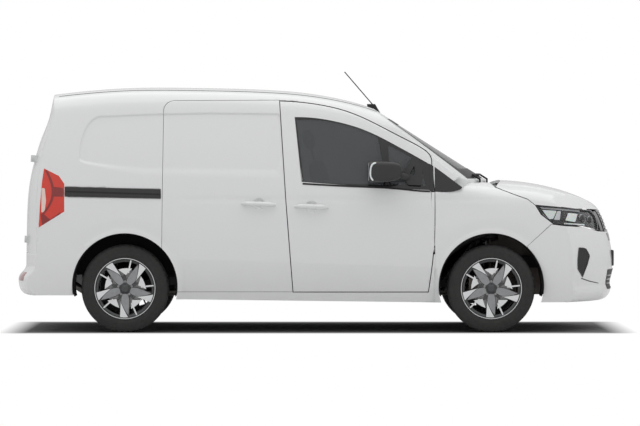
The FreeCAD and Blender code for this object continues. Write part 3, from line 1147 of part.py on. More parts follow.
dash_front = cab_front - SCREEN_BASE_SWEEP * 0.62
DASH_DEPTH = 430.0
DASH_HEIGHT = 300.0
DASH_TOP = 1085.0
DASH_HALF = 705.0
dash = full_prism([(dash_front, DASH_TOP - DASH_HEIGHT), (dash_front, DASH_TOP),
                   (dash_front - DASH_DEPTH * 0.6, DASH_TOP),
                   (dash_front - DASH_DEPTH, DASH_TOP - OVERRUN),
                   (dash_front - DASH_DEPTH, DASH_TOP - DASH_HEIGHT * 0.6),
                   (dash_front - DASH_DEPTH * 0.7, DASH_TOP - DASH_HEIGHT)])
dash = dash.common(box((0, -DASH_HALF, 0), (front_limit, DASH_HALF, sky)))
console = box((dash_front - DASH_DEPTH * 0.9, -SEAT_Y / 3, CAB_FLOOR),
              (dash_front - DASH_DEPTH * 0.3, SEAT_Y / 3, DASH_TOP - DASH_HEIGHT / 2))
dashboard = dash.fuse(console)
wheel_centre = Vector(STEERING_WHEEL_X, SEAT_Y, STEERING_WHEEL_Z)
tilt = math.radians(STEERING_WHEEL_TILT)
column_run = Vector(math.cos(tilt), 0, -math.sin(tilt))
grip = Part.makeTorus(STEERING_WHEEL_RADIUS, STEERING_WHEEL_GRIP, wheel_centre, column_run)
hub_boss = Part.makeCylinder(STEERING_WHEEL_RADIUS / 3, STEERING_WHEEL_GRIP * 3,
                             wheel_centre - column_run * STEERING_WHEEL_GRIP, column_run)
column = Part.makeCylinder(STEERING_COLUMN_RADIUS, STEERING_COLUMN_LENGTH, wheel_centre, column_run)
wheel_bars = []
for angle in (0, 180, 270):
    way = Vector(0, math.cos(math.radians(angle)),
                 0) + column_run.cross(Vector(0, 1, 0)) * math.sin(math.radians(angle))
    wheel_bars.append(bar(STEERING_WHEEL_GRIP * 0.8, wheel_centre,
                          wheel_centre + way * STEERING_WHEEL_RADIUS))
steering_wheel = grip.fuse([hub_boss, column] + wheel_bars).cut(dashboard)

# Door mirror: a housing on a foot
MIRROR_LENGTH = 248.0
MIRROR_WIDTH = 205.0
MIRROR_HEIGHT = 195.0
MIRROR_X = 498.0
MIRROR_Z = 1078.0
MIRROR_REACH = 1075.0
MIRROR_EDGE = 38.0
MIRROR_FOOT_LENGTH = 128.0
MIRROR_FOOT_HEIGHT = 96.0
mirror_low = (MIRROR_X - MIRROR_LENGTH / 2, -MIRROR_REACH, MIRROR_Z)
housing = box(mirror_low, (mirror_low[0] + MIRROR_LENGTH, -MIRROR_REACH + MIRROR_WIDTH,
                           MIRROR_Z + MIRROR_HEIGHT))
housing = housing.makeFillet(MIRROR_EDGE, housing.Edges)
foot_x = MIRROR_X + MIRROR_LENGTH / 2 - MIRROR_EDGE
foot = box((foot_x, -MIRROR_REACH + MIRROR_WIDTH - MIRROR_EDGE * 3, MIRROR_Z + MIRROR_EDGE / 2),
           (foot_x + MIRROR_FOOT_LENGTH, -HALF_WIDTH / 2, MIRROR_Z + MIRROR_EDGE / 2 + MIRROR_FOOT_HEIGHT))

# Aerial, wipers, plates
AERIAL_ROOT_X = 440.0
AERIAL_TIP_X = 207.0
AERIAL_TIP_Z = 1951.0
AERIAL_RADIUS = 4.0
FIN_LENGTH = 122.0
FIN_WIDTH = 44.0
FIN_HEIGHT = 42.0


def roof_line(x):
    """Height of the roof's middle line above a place along the van."""
    ray = Part.makeLine(Vector(x, 0, level(BELT_SHARE)), Vector(x, 0, 2 * sky))
    return max(vertex.Z for vertex in cabin_outer.common(ray).Vertexes)


fin_base = roof_line(AERIAL_ROOT_X - FIN_LENGTH / 2)
fin = polygon_xz([(AERIAL_ROOT_X - FIN_LENGTH / 2, fin_base - FIN_HEIGHT / 2),
                  (AERIAL_ROOT_X - FIN_LENGTH / 2, fin_base + FIN_HEIGHT / 2),
                  (AERIAL_ROOT_X, fin_base + FIN_HEIGHT / 2),
                  (AERIAL_ROOT_X + FIN_LENGTH / 2,
                   roof_line(AERIAL_ROOT_X + FIN_LENGTH / 2) - FIN_HEIGHT / 2)],
                 -FIN_WIDTH / 2, FIN_WIDTH / 2).cut(cabin_outer)
mast = bar(AERIAL_RADIUS, Vector(AERIAL_ROOT_X - AERIAL_RADIUS, 0, fin_base),
           Vector(AERIAL_TIP_X, 0, AERIAL_TIP_Z)).cut(cabin_outer)
aerial = solid_of(fin.fuse(mast))

WIPER_RADIUS = 7.0
WIPER_LENGTH = 540.0
WIPER_LIFT = 42.0
WIPER_STAND = 24.0
WIPER_Y = [-540.0, 30.0]
screen_slope = (station(SCREEN_TOP_STATION)
                - screen_base_x) / (level(SCREEN_TOP_SHARE) - level(SCREEN_BASE_SHARE))


def on_screen(y, lift, stand):
    """A point in front of the windscreen, a little above its base."""
    sweep = SCREEN_BASE_SWEEP * (y / HALF_WIDTH) ** 2
    z = level(SCREEN_BASE_SHARE) + lift
    return Vector(screen_base_x - sweep + screen_slope * lift + stand, y, z)


wipers = []
for y in WIPER_Y:
    line = [on_screen(y + WIPER_LENGTH * share, WIPER_LIFT, WIPER_STAND) for share in (0.0, 0.33, 0.67, 1.0)]
    over = on_screen(y, WIPER_RADIUS, WIPER_STAND)
    root = Vector(over.x, y, scuttle_top)
    wiper = bar(WIPER_RADIUS, root, over)
    for start, end in zip([over] + line, line):
        wiper = wiper.fuse([bar(WIPER_RADIUS, start, end), Part.makeSphere(WIPER_RADIUS, start)])
    wipers.append(solid_of(wiper.cut(scuttle_tray)))

mirror = solid_of(housing.fuse(foot).cut(cabin_outer))

PLATE_WIDTH = 520.0
PLATE_HEIGHT = 114.0
PLATE_THICKNESS = 10.0
PLATE_Z = 480.0
nose_tip = FRONT_END - PLATE_THICKNESS
front_plate = box((nose_tip - OVERRUN, -PLATE_WIDTH / 2, PLATE_Z),
                  (nose_tip + PLATE_THICKNESS, PLATE_WIDTH / 2, PLATE_Z + PLATE_HEIGHT)).cut(nose_outer)

pieces.update({
    "knuckle_right": knuckle, "knuckle_left": mirrored(knuckle),
    "front_springs": Part.makeCompound([spring, mirrored(spring)]), "front_subframe": subframe,
    "chassis_rails": Part.makeCompound([front_rail, mirrored(front_rail), rear_rail, mirrored(rear_rail)]),
    "arch_liners": Part.makeCompound([front_liner, mirrored(front_liner), rear_liner, mirrored(rear_liner)]),
    "engine": engine_block, "rear_axle": rear_axle, "fuel_tank": tank, "exhaust": exhaust,
    "seat_right": seat(-SEAT_Y), "seat_left": seat(SEAT_Y), "dashboard": dashboard,
    "steering_wheel": steering_wheel,
    "mirror_right": mirror, "mirror_left": mirrored(mirror), "aerial": aerial,
    "wipers": Part.makeCompound(wipers),
    "front_plate": front_plate})
for name, shape in pieces.items():
    export(shape, name)
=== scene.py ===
import math

import bmesh
import bpy
import numpy as np
from mathutils import Matrix, Vector
from mathutils.bvhtree import BVHTree


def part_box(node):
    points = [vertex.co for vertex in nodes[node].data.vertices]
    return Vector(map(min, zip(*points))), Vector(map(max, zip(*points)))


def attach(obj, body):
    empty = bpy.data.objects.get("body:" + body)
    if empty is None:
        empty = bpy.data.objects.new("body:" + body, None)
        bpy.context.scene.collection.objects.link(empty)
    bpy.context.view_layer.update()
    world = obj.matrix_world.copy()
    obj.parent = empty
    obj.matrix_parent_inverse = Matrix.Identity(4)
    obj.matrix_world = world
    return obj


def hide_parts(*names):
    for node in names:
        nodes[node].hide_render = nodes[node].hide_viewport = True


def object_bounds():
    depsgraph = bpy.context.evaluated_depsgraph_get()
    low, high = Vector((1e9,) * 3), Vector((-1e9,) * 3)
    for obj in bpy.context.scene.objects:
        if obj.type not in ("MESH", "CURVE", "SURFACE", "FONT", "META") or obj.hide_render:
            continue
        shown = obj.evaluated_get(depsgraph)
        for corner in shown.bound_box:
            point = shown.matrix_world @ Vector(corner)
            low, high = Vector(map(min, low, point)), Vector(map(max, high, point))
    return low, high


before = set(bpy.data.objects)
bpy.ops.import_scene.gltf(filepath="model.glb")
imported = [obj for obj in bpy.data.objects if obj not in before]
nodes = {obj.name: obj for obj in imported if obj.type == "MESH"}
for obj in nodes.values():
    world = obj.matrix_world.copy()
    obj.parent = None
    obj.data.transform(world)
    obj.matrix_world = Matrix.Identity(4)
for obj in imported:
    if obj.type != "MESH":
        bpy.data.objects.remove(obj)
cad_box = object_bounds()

HALF_WIDTH = 0.93
ROOF_HEIGHT = 1.838
FRONT_AXLE = 1.287
REAR_AXLE = -1.429
WHEELBASE = FRONT_AXLE - REAR_AXLE
WHEEL_Z = 0.326
TRACK_HALF = 0.792
HANDS = (("right", -1), ("left", 1))


# ---- small helpers ----
def srgb(text):
    """A hex colour as Blender's linear one."""
    parts = [int(text[i:i + 2], 16) / 255 for i in (1, 3, 5)]
    return (*[v / 12.92 if v <= 0.04045 else ((v + 0.055) / 1.055) ** 2.4 for v in parts], 1.0)


def add(tree, kind, inputs=None, **settings):
    """A shader node with its settings, its constants and its links."""
    made = tree.nodes.new(kind)
    for key, value in settings.items():
        setattr(made, key, value)
    for key, value in (inputs or {}).items():
        if isinstance(value, tuple) and isinstance(value[0], bpy.types.Node):
            tree.links.new(value[0].outputs[value[1]], made.inputs[key])
        else:
            made.inputs[key].default_value = value
    return made


def ramp(tree, source, stops, interpolation="LINEAR"):
    """A colour ramp over a factor, from (place, colour) stops."""
    made = add(tree, "ShaderNodeValToRGB", {"Fac": source})
    made.color_ramp.interpolation = interpolation
    while len(made.color_ramp.elements) < len(stops):
        made.color_ramp.elements.new(0.5)
    for element, (place, colour) in zip(made.color_ramp.elements, stops):
        element.position = place
        element.color = colour
    return made


def noise(tree, place, size, detail=3.0, rough=0.5):
    """Noise whose features are about size metres across."""
    return add(tree, "ShaderNodeTexNoise", {"Vector": place, "Scale": 1 / size, "Detail": detail, "Roughness": rough})


def material(name, colour, rough, metal=0.0, vary=None, bump=None, rough_vary=0.0, build=None, **shader):
    """A material: colour varied by large soft noise, roughness by finer noise, and a fine surface bump."""
    made = bpy.data.materials.new(name)
    made.use_nodes = True
    tree = made.node_tree
    tree.nodes.clear()
    coords = add(tree, "ShaderNodeTexCoord")
    place = (coords, "Object")
    main = add(tree, "ShaderNodeBsdfPrincipled", {"Roughness": rough, "Metallic": metal, "Base Color": srgb(colour)})
    for key, value in shader.items():
        main.inputs[key.replace("_", " ")].default_value = value
    if vary:
        other, size = vary
        soft = noise(tree, place, size)
        mix = add(tree, "ShaderNodeMix", {0: (soft, "Fac"), 6: srgb(colour), 7: srgb(other)}, data_type="RGBA")
        tree.links.new(mix.outputs[2], main.inputs["Base Color"])
    if rough_vary:
        fine = noise(tree, place, 0.05, 4.0)
        span = add(tree, "ShaderNodeMapRange", {"Value": (fine, "Fac"), "To Min": max(rough - rough_vary, 0.02),
                                                "To Max": min(rough + rough_vary, 1.0)})
        tree.links.new(span.outputs[0], main.inputs["Roughness"])
    if bump:
        size, depth, strength = bump
        grain = noise(tree, place, size, 2.0)
        raised = add(tree, "ShaderNodeBump", {"Height": (grain, "Fac"), "Distance": depth, "Strength": strength})
        tree.links.new(raised.outputs[0], main.inputs["Normal"])
    out = add(tree, "ShaderNodeOutputMaterial", {"Surface": (main, "BSDF")})
    if build:
        build(tree, main, place, out)
    return made


def shaped(name, bm, body, *stuff, smooth=35.0, replaces=(), slot=None, normals=True):
    """A finished piece from a bmesh, riding on a body."""
    mesh = bpy.data.meshes.new(name)
    if normals:
        bmesh.ops.recalc_face_normals(bm, faces=bm.faces)
    bm.to_mesh(mesh)
    bm.free()
    for one in stuff:
        mesh.materials.append(one)
    return placed(name, mesh, body, smooth, replaces)


def placed(name, mesh, body, smooth=35.0, replaces=()):
    """A finished piece from a mesh, riding on a body."""
    mesh.polygons.foreach_set("use_smooth", [smooth > 0] * len(mesh.polygons))
    if smooth > 0:
        mesh.set_sharp_from_angle(angle=math.radians(smooth))
    made = bpy.data.objects.new(name, mesh)
    bpy.context.scene.collection.objects.link(made)
    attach(made, body)
    if replaces:
        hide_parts(*replaces)
    return made


def loft(bm, rings, closed=True, caps=True, material_index=0):
    """Quads between rings of points of the same count."""
    made = [[bm.verts.new(p) for p in ring] for ring in rings]
    count = len(made[0])
    for low, high in zip(made, made[1:]):
        for i in range(count if closed else count - 1):
            j = (i + 1) % count
            face = bm.faces.new((low[i], low[j], high[j], high[i]))
            face.material_index = material_index
    if caps and closed:
        for ring in (made[0][::-1], made[-1]):
            bm.faces.new(ring).material_index = material_index
    return made


def solid_box(bm, low, high, bevel=0.0, matrix=None, material_index=0, segments=2):
    """A box with rounded edges."""
    part = bmesh.new()
    bmesh.ops.create_cube(part, size=1.0)
    centre = [(a + b) / 2 for a, b in zip(low, high)]
    for v in part.verts:
        v.co = Vector([c + co * (b - a) for c, co, a, b in zip(centre, v.co, low, high)])
    if bevel:
        bmesh.ops.bevel(part, geom=part.edges[:], offset=bevel, segments=segments, affect="EDGES", profile=0.5)
    merge(bm, part, matrix, material_index)


def merge(bm, part, matrix=None, material_index=None):
    """Adds one bmesh to another."""
    if matrix is not None:
        bmesh.ops.transform(part, matrix=matrix, verts=part.verts)
    if material_index is not None:
        for face in part.faces:
            face.material_index = material_index
    mesh = bpy.data.meshes.new("part")
    part.to_mesh(mesh)
    part.free()
    bm.from_mesh(mesh)
    bpy.data.meshes.remove(mesh)


def tube(bm, points, radius, sides=12, caps=True, material_index=0, flat=1.0, up=(0, 0, 1)):
    """A round or flattened bar along points; radius may be a list."""
    points = [Vector(p) for p in points]
    radii = radius if isinstance(radius, (list, tuple)) else [radius] * len(points)
    rings = []
    side = None
    for i, (point, r) in enumerate(zip(points, radii)):
        ahead = (points[min(i + 1, len(points) - 1)] - points[max(i - 1, 0)]).normalized()
        if side is None:
            side = ahead.cross(Vector(up))
            if side.length < 1e-4:
                side = ahead.orthogonal()
        side = (side - ahead * side.dot(ahead)).normalized()
        over = ahead.cross(side)
        rings.append([point + side * (math.cos(a) * r) + over * (math.sin(a) * r * flat)
                      for a in [2 * math.pi * k / sides for k in range(sides)]])
    loft(bm, rings, True, caps, material_index)


def turned(bm, profile, sides=96, centre=(0, 0, 0), material_index=0, closed=False):
    """A surface of revolution about a line along Y; the profile is (radius, y) points."""
    rings = []
    for k in range(sides):
        a = 2 * math.pi * k / sides
        rings.append([Vector((centre[0] + r * math.sin(a), centre[1] + y, centre[2] + r * math.cos(a)))
                      for r, y in profile])
    made = [[bm.verts.new(p) for p in ring] for ring in rings]
    count = len(profile)
    for k in range(sides):
        here, there = made[k], made[(k + 1) % sides]
        for i in range(count if closed else count - 1):
            j = (i + 1) % count
            bm.faces.new((here[i], here[j], there[j], there[i])).material_index = material_index


def nodes_tree(name, ports):
    """A Geometry Nodes tree with named inputs, its input node, and its inputs' identifiers."""
    tree = bpy.data.node_groups.new(name, "GeometryNodeTree")
    idents = {label: tree.interface.new_socket(label, in_out="INPUT", socket_type="NodeSocket" + kind).identifier
              for label, kind in ports.items()}
    tree.interface.new_socket("Geometry", in_out="OUTPUT", socket_type="NodeSocketGeometry")
    return tree, add(tree, "NodeGroupInput"), idents


def tree_end(tree, source, made):
    """Every tree's end: real geometry, in one material."""
    real = add(tree, "GeometryNodeRealizeInstances", {"Geometry": made})
    finish = add(tree, "GeometryNodeSetMaterial", {"Geometry": (real, 0), "Material": (source, "Material")})
    add(tree, "NodeGroupOutput", {"Geometry": (finish, 0)})


def repeat_tree():
    """Copies of a piece, each moved by Step and turned by Turn from the one before."""
    tree, source, idents = nodes_tree("repeated_piece", {"Piece": "Geometry", "Count": "Int", "Step": "Vector",
                                                         "Turn": "Vector", "Material": "Material"})
    line = add(tree, "GeometryNodeMeshLine", {"Count": (source, "Count"), "Offset": (source, "Step")})
    index = add(tree, "GeometryNodeInputIndex")
    turn = add(tree, "ShaderNodeVectorMath", {0: (source, "Turn"), "Scale": (index, 0)}, operation="SCALE")
    copies = add(tree, "GeometryNodeInstanceOnPoints", {"Points": (line, 0), "Instance": (source, "Piece"),
                                                        "Rotation": (turn, 0)})
    tree_end(tree, source, (copies, 0))
    return tree, idents


def cord_tree():
    """A round cord along a path of edges."""
    tree, source, idents = nodes_tree("seam_cord", {"Path": "Geometry", "Radius": "Float", "Sides": "Int",
                                                    "Material": "Material"})
    path = add(tree, "GeometryNodeMeshToCurve", {"Mesh": (source, "Path")})
    ring = add(tree, "GeometryNodeCurvePrimitiveCircle", {"Resolution": (source, "Sides"),
                                                          "Radius": (source, "Radius")})
    cord = add(tree, "GeometryNodeCurveToMesh", {"Curve": (path, 0), "Profile Curve": (ring, 0), "Fill Caps": True})
    tree_end(tree, source, (cord, 0))
    return tree, idents


REPEAT, CORD = repeat_tree(), cord_tree()


def grown(start, tree_and_inputs, values):
    """The plain mesh that a Geometry Nodes tree makes of a starting mesh."""
    tree, idents = tree_and_inputs
    holder = bpy.data.objects.new("grown", start)
    bpy.context.scene.collection.objects.link(holder)
    modifier = holder.modifiers.new("Grown", "NODES")
    modifier.node_group = tree
    for label, value in values.items():
        modifier[idents[label]] = value
    mesh = bpy.data.meshes.new_from_object(holder.evaluated_get(bpy.context.evaluated_depsgraph_get()))
    bpy.data.objects.remove(holder)
    bpy.data.meshes.remove(start)
    return mesh


def repeated(bm, unit, count, step, turn, stuff, material_index=0):
    """Adds copies of a small bmesh to another one."""
    start = bpy.data.meshes.new("unit")
    unit.to_mesh(start)
    unit.free()
    mesh = grown(start, REPEAT, {"Count": count, "Step": step, "Turn": turn, "Material": stuff})
    part = bmesh.new()
    part.from_mesh(mesh)
    bpy.data.meshes.remove(mesh)
    merge(bm, part, None, material_index)


def smooth_step(low, high, value):
    """0 below low, 1 above high, and smooth between; low may be the larger."""
    t = np.clip((value - low) / (high - low), 0, 1)
    return t * t * (3 - 2 * t)


def natural(knots, values, at):
    """A natural cubic spline through values at knots."""
    knots, values, at = np.asarray(knots, float), np.asarray(values, float), np.asarray(at, float)
    n = len(knots)
    h = np.diff(knots)
    system = np.eye(n)
    right = np.zeros_like(values)
    for i in range(1, n - 1):
        system[i, i - 1:i + 2] = h[i - 1], 2 * (h[i - 1] + h[i]), h[i]
        right[i] = 6 * ((values[i + 1] - values[i]) / h[i] - (values[i] - values[i - 1]) / h[i - 1])
    m = np.linalg.solve(system, right)
    k = np.clip(np.searchsorted(knots, at) - 1, 0, n - 2)
    shape = (-1,) + (1,) * (values.ndim - 1)
    t, hk = (at - knots[k]).reshape(shape), h[k].reshape(shape)
    slope = (values[k + 1] - values[k]) / hk - hk * (2 * m[k] + m[k + 1]) / 6
    return values[k] + t * (slope + t * (m[k] / 2 + t * (m[k + 1] - m[k]) / (6 * hk)))


def through(points, count):
    """Points along a smooth line through points."""
    points = np.asarray(points, float)
    runs = np.concatenate([[0], np.cumsum(np.linalg.norm(np.diff(points, axis=0), axis=1))])
    return natural(runs, points, np.linspace(0, runs[-1], count))


# ---- the body's own surface, from the same sections as the solids ----
CABIN_SECTION = [(0.110, 0.942), (0.218, 0.984), (0.326, 1.0), (0.435, 0.996), (0.571, 0.975), (0.653, 0.953),
                 (0.735, 0.924), (0.816, 0.888), (0.887, 0.852), (0.930, 0.822), (0.962, 0.768), (0.980, 0.660),
                 (0.990, 0.430), (0.9925, 0.200)]
BELT, ROOF = 0.571, 0.9925
CABIN_STATIONS = [(-1.06, 0.940, 0.962), (-0.627, 0.968, 0.985), (-0.300, 0.983, 0.994), (-0.077, 0.990, 0.998),
                  (0.189, 0.9925, 1.0), (0.413, 0.982, 1.0), (0.478, 0.974, 1.0), (0.563, 0.955, 1.0),
                  (0.661, 0.9185, 0.999), (0.711, 0.893, 0.998), (0.785, 0.862, 0.995), (0.895, 0.824, 0.989),
                  (1.020, 0.790, 0.983)]
NOSE_SECTION = [(0.110, 0.942), (0.218, 0.984), (0.326, 1.0), (0.435, 0.996), (0.505, 0.982), (0.549, 0.955),
                (0.577, 0.896), (0.594, 0.790), (0.606, 0.560), (0.6115, 0.290), (0.613, 0.100)]
BONNET = 0.613
SHOULDER = [0.0, 0.0, 0.0, 0.0, 0.0, 0.022, 0.070, 0.140, 0.220, 0.200, 0.080]
NOSE_STATIONS = [(0.600, 0.613, 1.0, 0.0), (0.700, 0.613, 0.998, 0.0), (0.800, 0.613, 0.995, 0.0),
                 (0.880, 0.613, 0.990, 0.0), (0.950, 0.6135, 0.986, 0.35),
                 (1.000, 0.6135, 0.984, 0.75), (1.090, 0.6125, 0.979, 1.0), (1.250, 0.607, 0.966, 1.0),
                 (1.430, 0.5925, 0.948, 1.0), (1.600, 0.570, 0.926, 1.0), (1.740, 0.543, 0.905, 1.0),
                 (1.860, 0.507, 0.884, 1.0), (2.060, 0.440, 0.850, 1.0)]
NOSE_OUTLINE = [(1.900, 0.121), (1.968, 0.140), (1.985, 0.172), (1.980, 0.182), (1.994, 0.226), (2.000, 0.300),
                (1.985, 0.354), (1.950, 0.426), (1.905, 0.480), (1.855, 0.512), (1.760, 0.560), (1.600, 0.620)]
TAIL_OUTLINE = [(-0.930, 0.100), (-0.932, 0.260), (-0.930, 0.330), (-0.926, 0.420), (-0.910, 0.567), (-0.880, 0.650),
                (-0.851, 0.700), (-0.786, 0.790), (-0.721, 0.865), (-0.684, 0.939), (-0.640, 1.010)]
NOSE_SWEEP, SCREEN_BASE_SWEEP, SCREEN_TOP_SWEEP, TAIL_SWEEP = 0.430, 0.235, 0.075, 0.118
SCREEN_BASE_X, SCREEN_BASE_Z, SCREEN_TOP_X, SCREEN_RISE = 1.2829, 1.1267, 0.501, 0.4953
PILLAR_X, PILLAR_FOOT_X = 0.866, 1.30  # the front door's front edge, and where the pillar has run into the wing
PILLAR_LOW_Z, PILLAR_HIGH_Z = 0.98, 1.16
SCUTTLE_X = 1.15


def station(share):
    """The x of a share of the wheelbase; past the axles a share counts the overhang's own length."""
    if share < 0:
        return REAR_AXLE + share * 0.815
    if share > 1:
        return FRONT_AXLE + (share - 1) * 0.957
    return REAR_AXLE + share * WHEELBASE


def level(share):
    """The z of a share of the roof's height."""
    return share * ROOF_HEIGHT


def outline(shares):
    """A side view profile in metres."""
    return [(station(x), level(z)) for x, z in shares]


def section_rows(stations, xs, section_at, count):
    """Rows of points round the body at each x, through smoothly changing sections."""
    knots = [station(row[0]) for row in stations]
    values = natural(knots, [row[1:] for row in stations], xs)
    rows = []
    for x, row in zip(xs, values):
        half = section_at(*row)
        loop = [(-y, z) for y, z in half] + [(y, z) for y, z in half[::-1]]
        rows.append([Vector((x, y, z)) for y, z in through(loop, count)])
    return rows


def cabin_half(roof_share, width_share):
    """Half a section of the cabin, its upper part scaled to the roof there."""
    scale = (roof_share - BELT) / (ROOF - BELT)
    return [(w * width_share * HALF_WIDTH, level(u if u <= BELT else BELT + (u - BELT) * scale))
            for u, w in CABIN_SECTION]


def nose_half(top_share, width_share, shoulder):
    """Half a section of the nose, its shoulder drawn in."""
    low = NOSE_SECTION[0][0]
    scale = (top_share - low) / (BONNET - low)
    return [((w + s * (1 - shoulder)) * width_share * HALF_WIDTH, level(low + (u - low) * scale))
            for (u, w), s in zip(NOSE_SECTION, SHOULDER)]


def swept(profile, sweep, power, side_limit=0.99, count=140, across=90):
    """Rows of points over the tail or nose, drawn back towards the sides."""
    line = through(profile, count)
    rows = []
    for y in np.linspace(-side_limit, side_limit, across):
        back = sweep * abs(y / HALF_WIDTH) ** power
        rows.append([Vector((x + back, y, z)) for x, z in line])
    return rows


def surface(rows):
    """A search tree over a grid of points."""
    count = len(rows[0])
    points = [p for row in rows for p in row]
    quads = [(r * count + i, r * count + i + 1, (r + 1) * count + i + 1, (r + 1) * count + i)
             for r in range(len(rows) - 1) for i in range(count - 1)]
    return BVHTree.FromPolygons(points, quads)


fine = 0.015
cabin_tree = surface(section_rows(CABIN_STATIONS, np.arange(-2.28, 1.34, fine), cabin_half, 260))
nose_tree = surface(section_rows(NOSE_STATIONS, np.arange(0.60, 2.30, fine), nose_half, 260))
tail_tree = surface(swept(outline(TAIL_OUTLINE), TAIL_SWEEP, 6.0))
front_tree = surface(swept(outline(NOSE_OUTLINE), -NOSE_SWEEP, 2.6))
BUMPER_OUTLINE = [(-0.930, 0.3185), (-0.936, 0.262), (-0.950, 0.250), (-0.990, 0.229), (-1.000, 0.196),
                  (-0.975, 0.163), (-0.908, 0.150)]
bumper_tree = surface(swept(outline(BUMPER_OUTLINE), TAIL_SWEEP, 6.0))
CABIN, NOSE, REAR_BUMPER = [cabin_tree, tail_tree], [nose_tree, front_tree], [cabin_tree, tail_tree, bumper_tree]
RAYS = {"side": (1, (0, 2)), "front": (0, (1, 2)), "rear": (0, (1, 2)), "top": (2, (0, 1)), "bumper": (0, (1, 2)),
        "screen": (0, (1, 2))}
SIGNS = {"front": 1, "rear": -1, "top": 1, "bumper": -1, "screen": 1}


def on_body(kind, u, v, side=-1, inset=0.0):
    """The body's surface at a place in side, front, rear or top view; an inset lies inwards."""
    axis, (first, second) = RAYS[kind]
    start = Vector((0, 0, 0))
    start[first], start[second] = u, v
    sign = SIGNS.get(kind, side)
    start[axis] = sign * 3.0
    ray = Vector((0, 0, 0))
    ray[axis] = -sign
    if kind == "screen":
        up, out = (v - SCREEN_BASE_Z) / SCREEN_RISE, abs(u) / HALF_WIDTH
        base, top = SCREEN_BASE_X - SCREEN_BASE_SWEEP * out ** 2, SCREEN_TOP_X - SCREEN_TOP_SWEEP * out ** 2
        start[0] = base * (1 - up) + top * up - inset
        return start
    if kind == "side" and PILLAR_X <= u < PILLAR_FOOT_X and PILLAR_LOW_Z < v <= PILLAR_HIGH_Z:
        hits = [tree.ray_cast(start, ray)[0] for tree in (cabin_tree, nose_tree)]
        start[1] = sign * max(abs(hit[1]) for hit in hits if hit is not None) - sign * inset
        return start
    if kind == "side":
        trees = CABIN if u < PILLAR_X or v > PILLAR_HIGH_Z else NOSE
    elif kind == "top":
        trees = CABIN[:1] if u < SCUTTLE_X else NOSE[:1]
    else:
        trees = {"front": [front_tree], "rear": [tail_tree], "bumper": [bumper_tree]}[kind]
    places = [hit[0][axis] for hit in (tree.ray_cast(start, ray) for tree in trees) if hit[0] is not None]
    start[axis] = min(places, key=lambda place: place * sign) if places else sign * HALF_WIDTH
    start[axis] -= sign * inset
    start[0] = min(max(start[0], cad_box[0][0] + 0.0002), cad_box[1][0] - 0.0002)
    return start


# ---- materials ----
def paint_look(tree, main, place, out):
    """Orange peel in the clear coat, and a little road dust low down."""
    peel = noise(tree, place, 0.006, 2.0)
    wave = add(tree, "ShaderNodeBump", {"Height": (peel, "Fac"), "Distance": 0.00004, "Strength": 0.35})
    tree.links.new(wave.outputs[0], main.inputs["Coat Normal"])
    split = add(tree, "ShaderNodeSeparateXYZ", {"Vector": place})
    low = add(tree, "ShaderNodeMapRange", {"Value": (split, "Z"), "From Min": 0.60, "From Max": 0.26})
    spread = noise(tree, place, 0.18, 5.0, 0.6)
    dust = add(tree, "ShaderNodeMath", {0: (low, 0), 1: (spread, "Fac")}, operation="MULTIPLY")
    dust_part = add(tree, "ShaderNodeMath", {0: (dust, 0), 1: 0.12}, operation="MULTIPLY")
    mix = add(tree, "ShaderNodeMix", {0: (dust_part, 0), 6: srgb("#E9EAEA"), 7: srgb("#A8A49C")}, data_type="RGBA")
    tree.links.new(mix.outputs[2], main.inputs["Base Color"])


def tyre_look(tree, main, place, out):
    """Rubber with fine rings on the sidewall and a dusty bloom."""
    spread = noise(tree, place, 0.03, 5.0, 0.6)
    mix = add(tree, "ShaderNodeMix", {0: (spread, "Fac"), 6: srgb("#2B2B2B"), 7: srgb("#3C3B3A")}, data_type="RGBA")
    tree.links.new(mix.outputs[2], main.inputs["Base Color"])
    grain = noise(tree, place, 0.0016, 3.0)
    raised = add(tree, "ShaderNodeBump", {"Height": (grain, "Fac"), "Distance": 0.0003, "Strength": 0.5})
    tree.links.new(raised.outputs[0], main.inputs["Normal"])


def band_scale(spacing):
    """The Wave texture's scale for bands that lie so many metres apart."""
    return 2 * math.pi / 20 / spacing


def weave_look(tree, main, place, out):
    """Woven seat cloth: crossed ribs 1.2 mm apart, twice the real thread's spacing, so that they show."""
    thread = {"Vector": place, "Scale": band_scale(0.0012), "Distortion": 1.2, "Detail": 1.0}
    ribs = add(tree, "ShaderNodeTexWave", thread, wave_type="BANDS", bands_direction="X")
    cross = add(tree, "ShaderNodeTexWave", thread, wave_type="BANDS", bands_direction="Z")
    both = add(tree, "ShaderNodeMath", {0: (ribs, "Fac"), 1: (cross, "Fac")}, operation="MULTIPLY")
    tint = add(tree, "ShaderNodeMix", {0: (both, 0), 6: srgb("#1F2022"), 7: srgb("#46474A")}, data_type="RGBA")
    tree.links.new(tint.outputs[2], main.inputs["Base Color"])
    raised = add(tree, "ShaderNodeBump", {"Height": (both, 0), "Distance": 0.0006, "Strength": 0.6})
    tree.links.new(raised.outputs[0], main.inputs["Normal"])


def brushed_look(tree, main, place, out):
    """Fine turned lines round a wheel's axle, for machined faces."""
    fine_lines = noise(tree, place, 0.002, 4.0, 0.7)
    span = add(tree, "ShaderNodeMapRange", {"Value": (fine_lines, "Fac"), "To Min": 0.22, "To Max": 0.42})
    tree.links.new(span.outputs[0], main.inputs["Roughness"])
    raised = add(tree, "ShaderNodeBump", {"Height": (fine_lines, "Fac"), "Distance": 0.00004, "Strength": 0.4})
    tree.links.new(raised.outputs[0], main.inputs["Normal"])


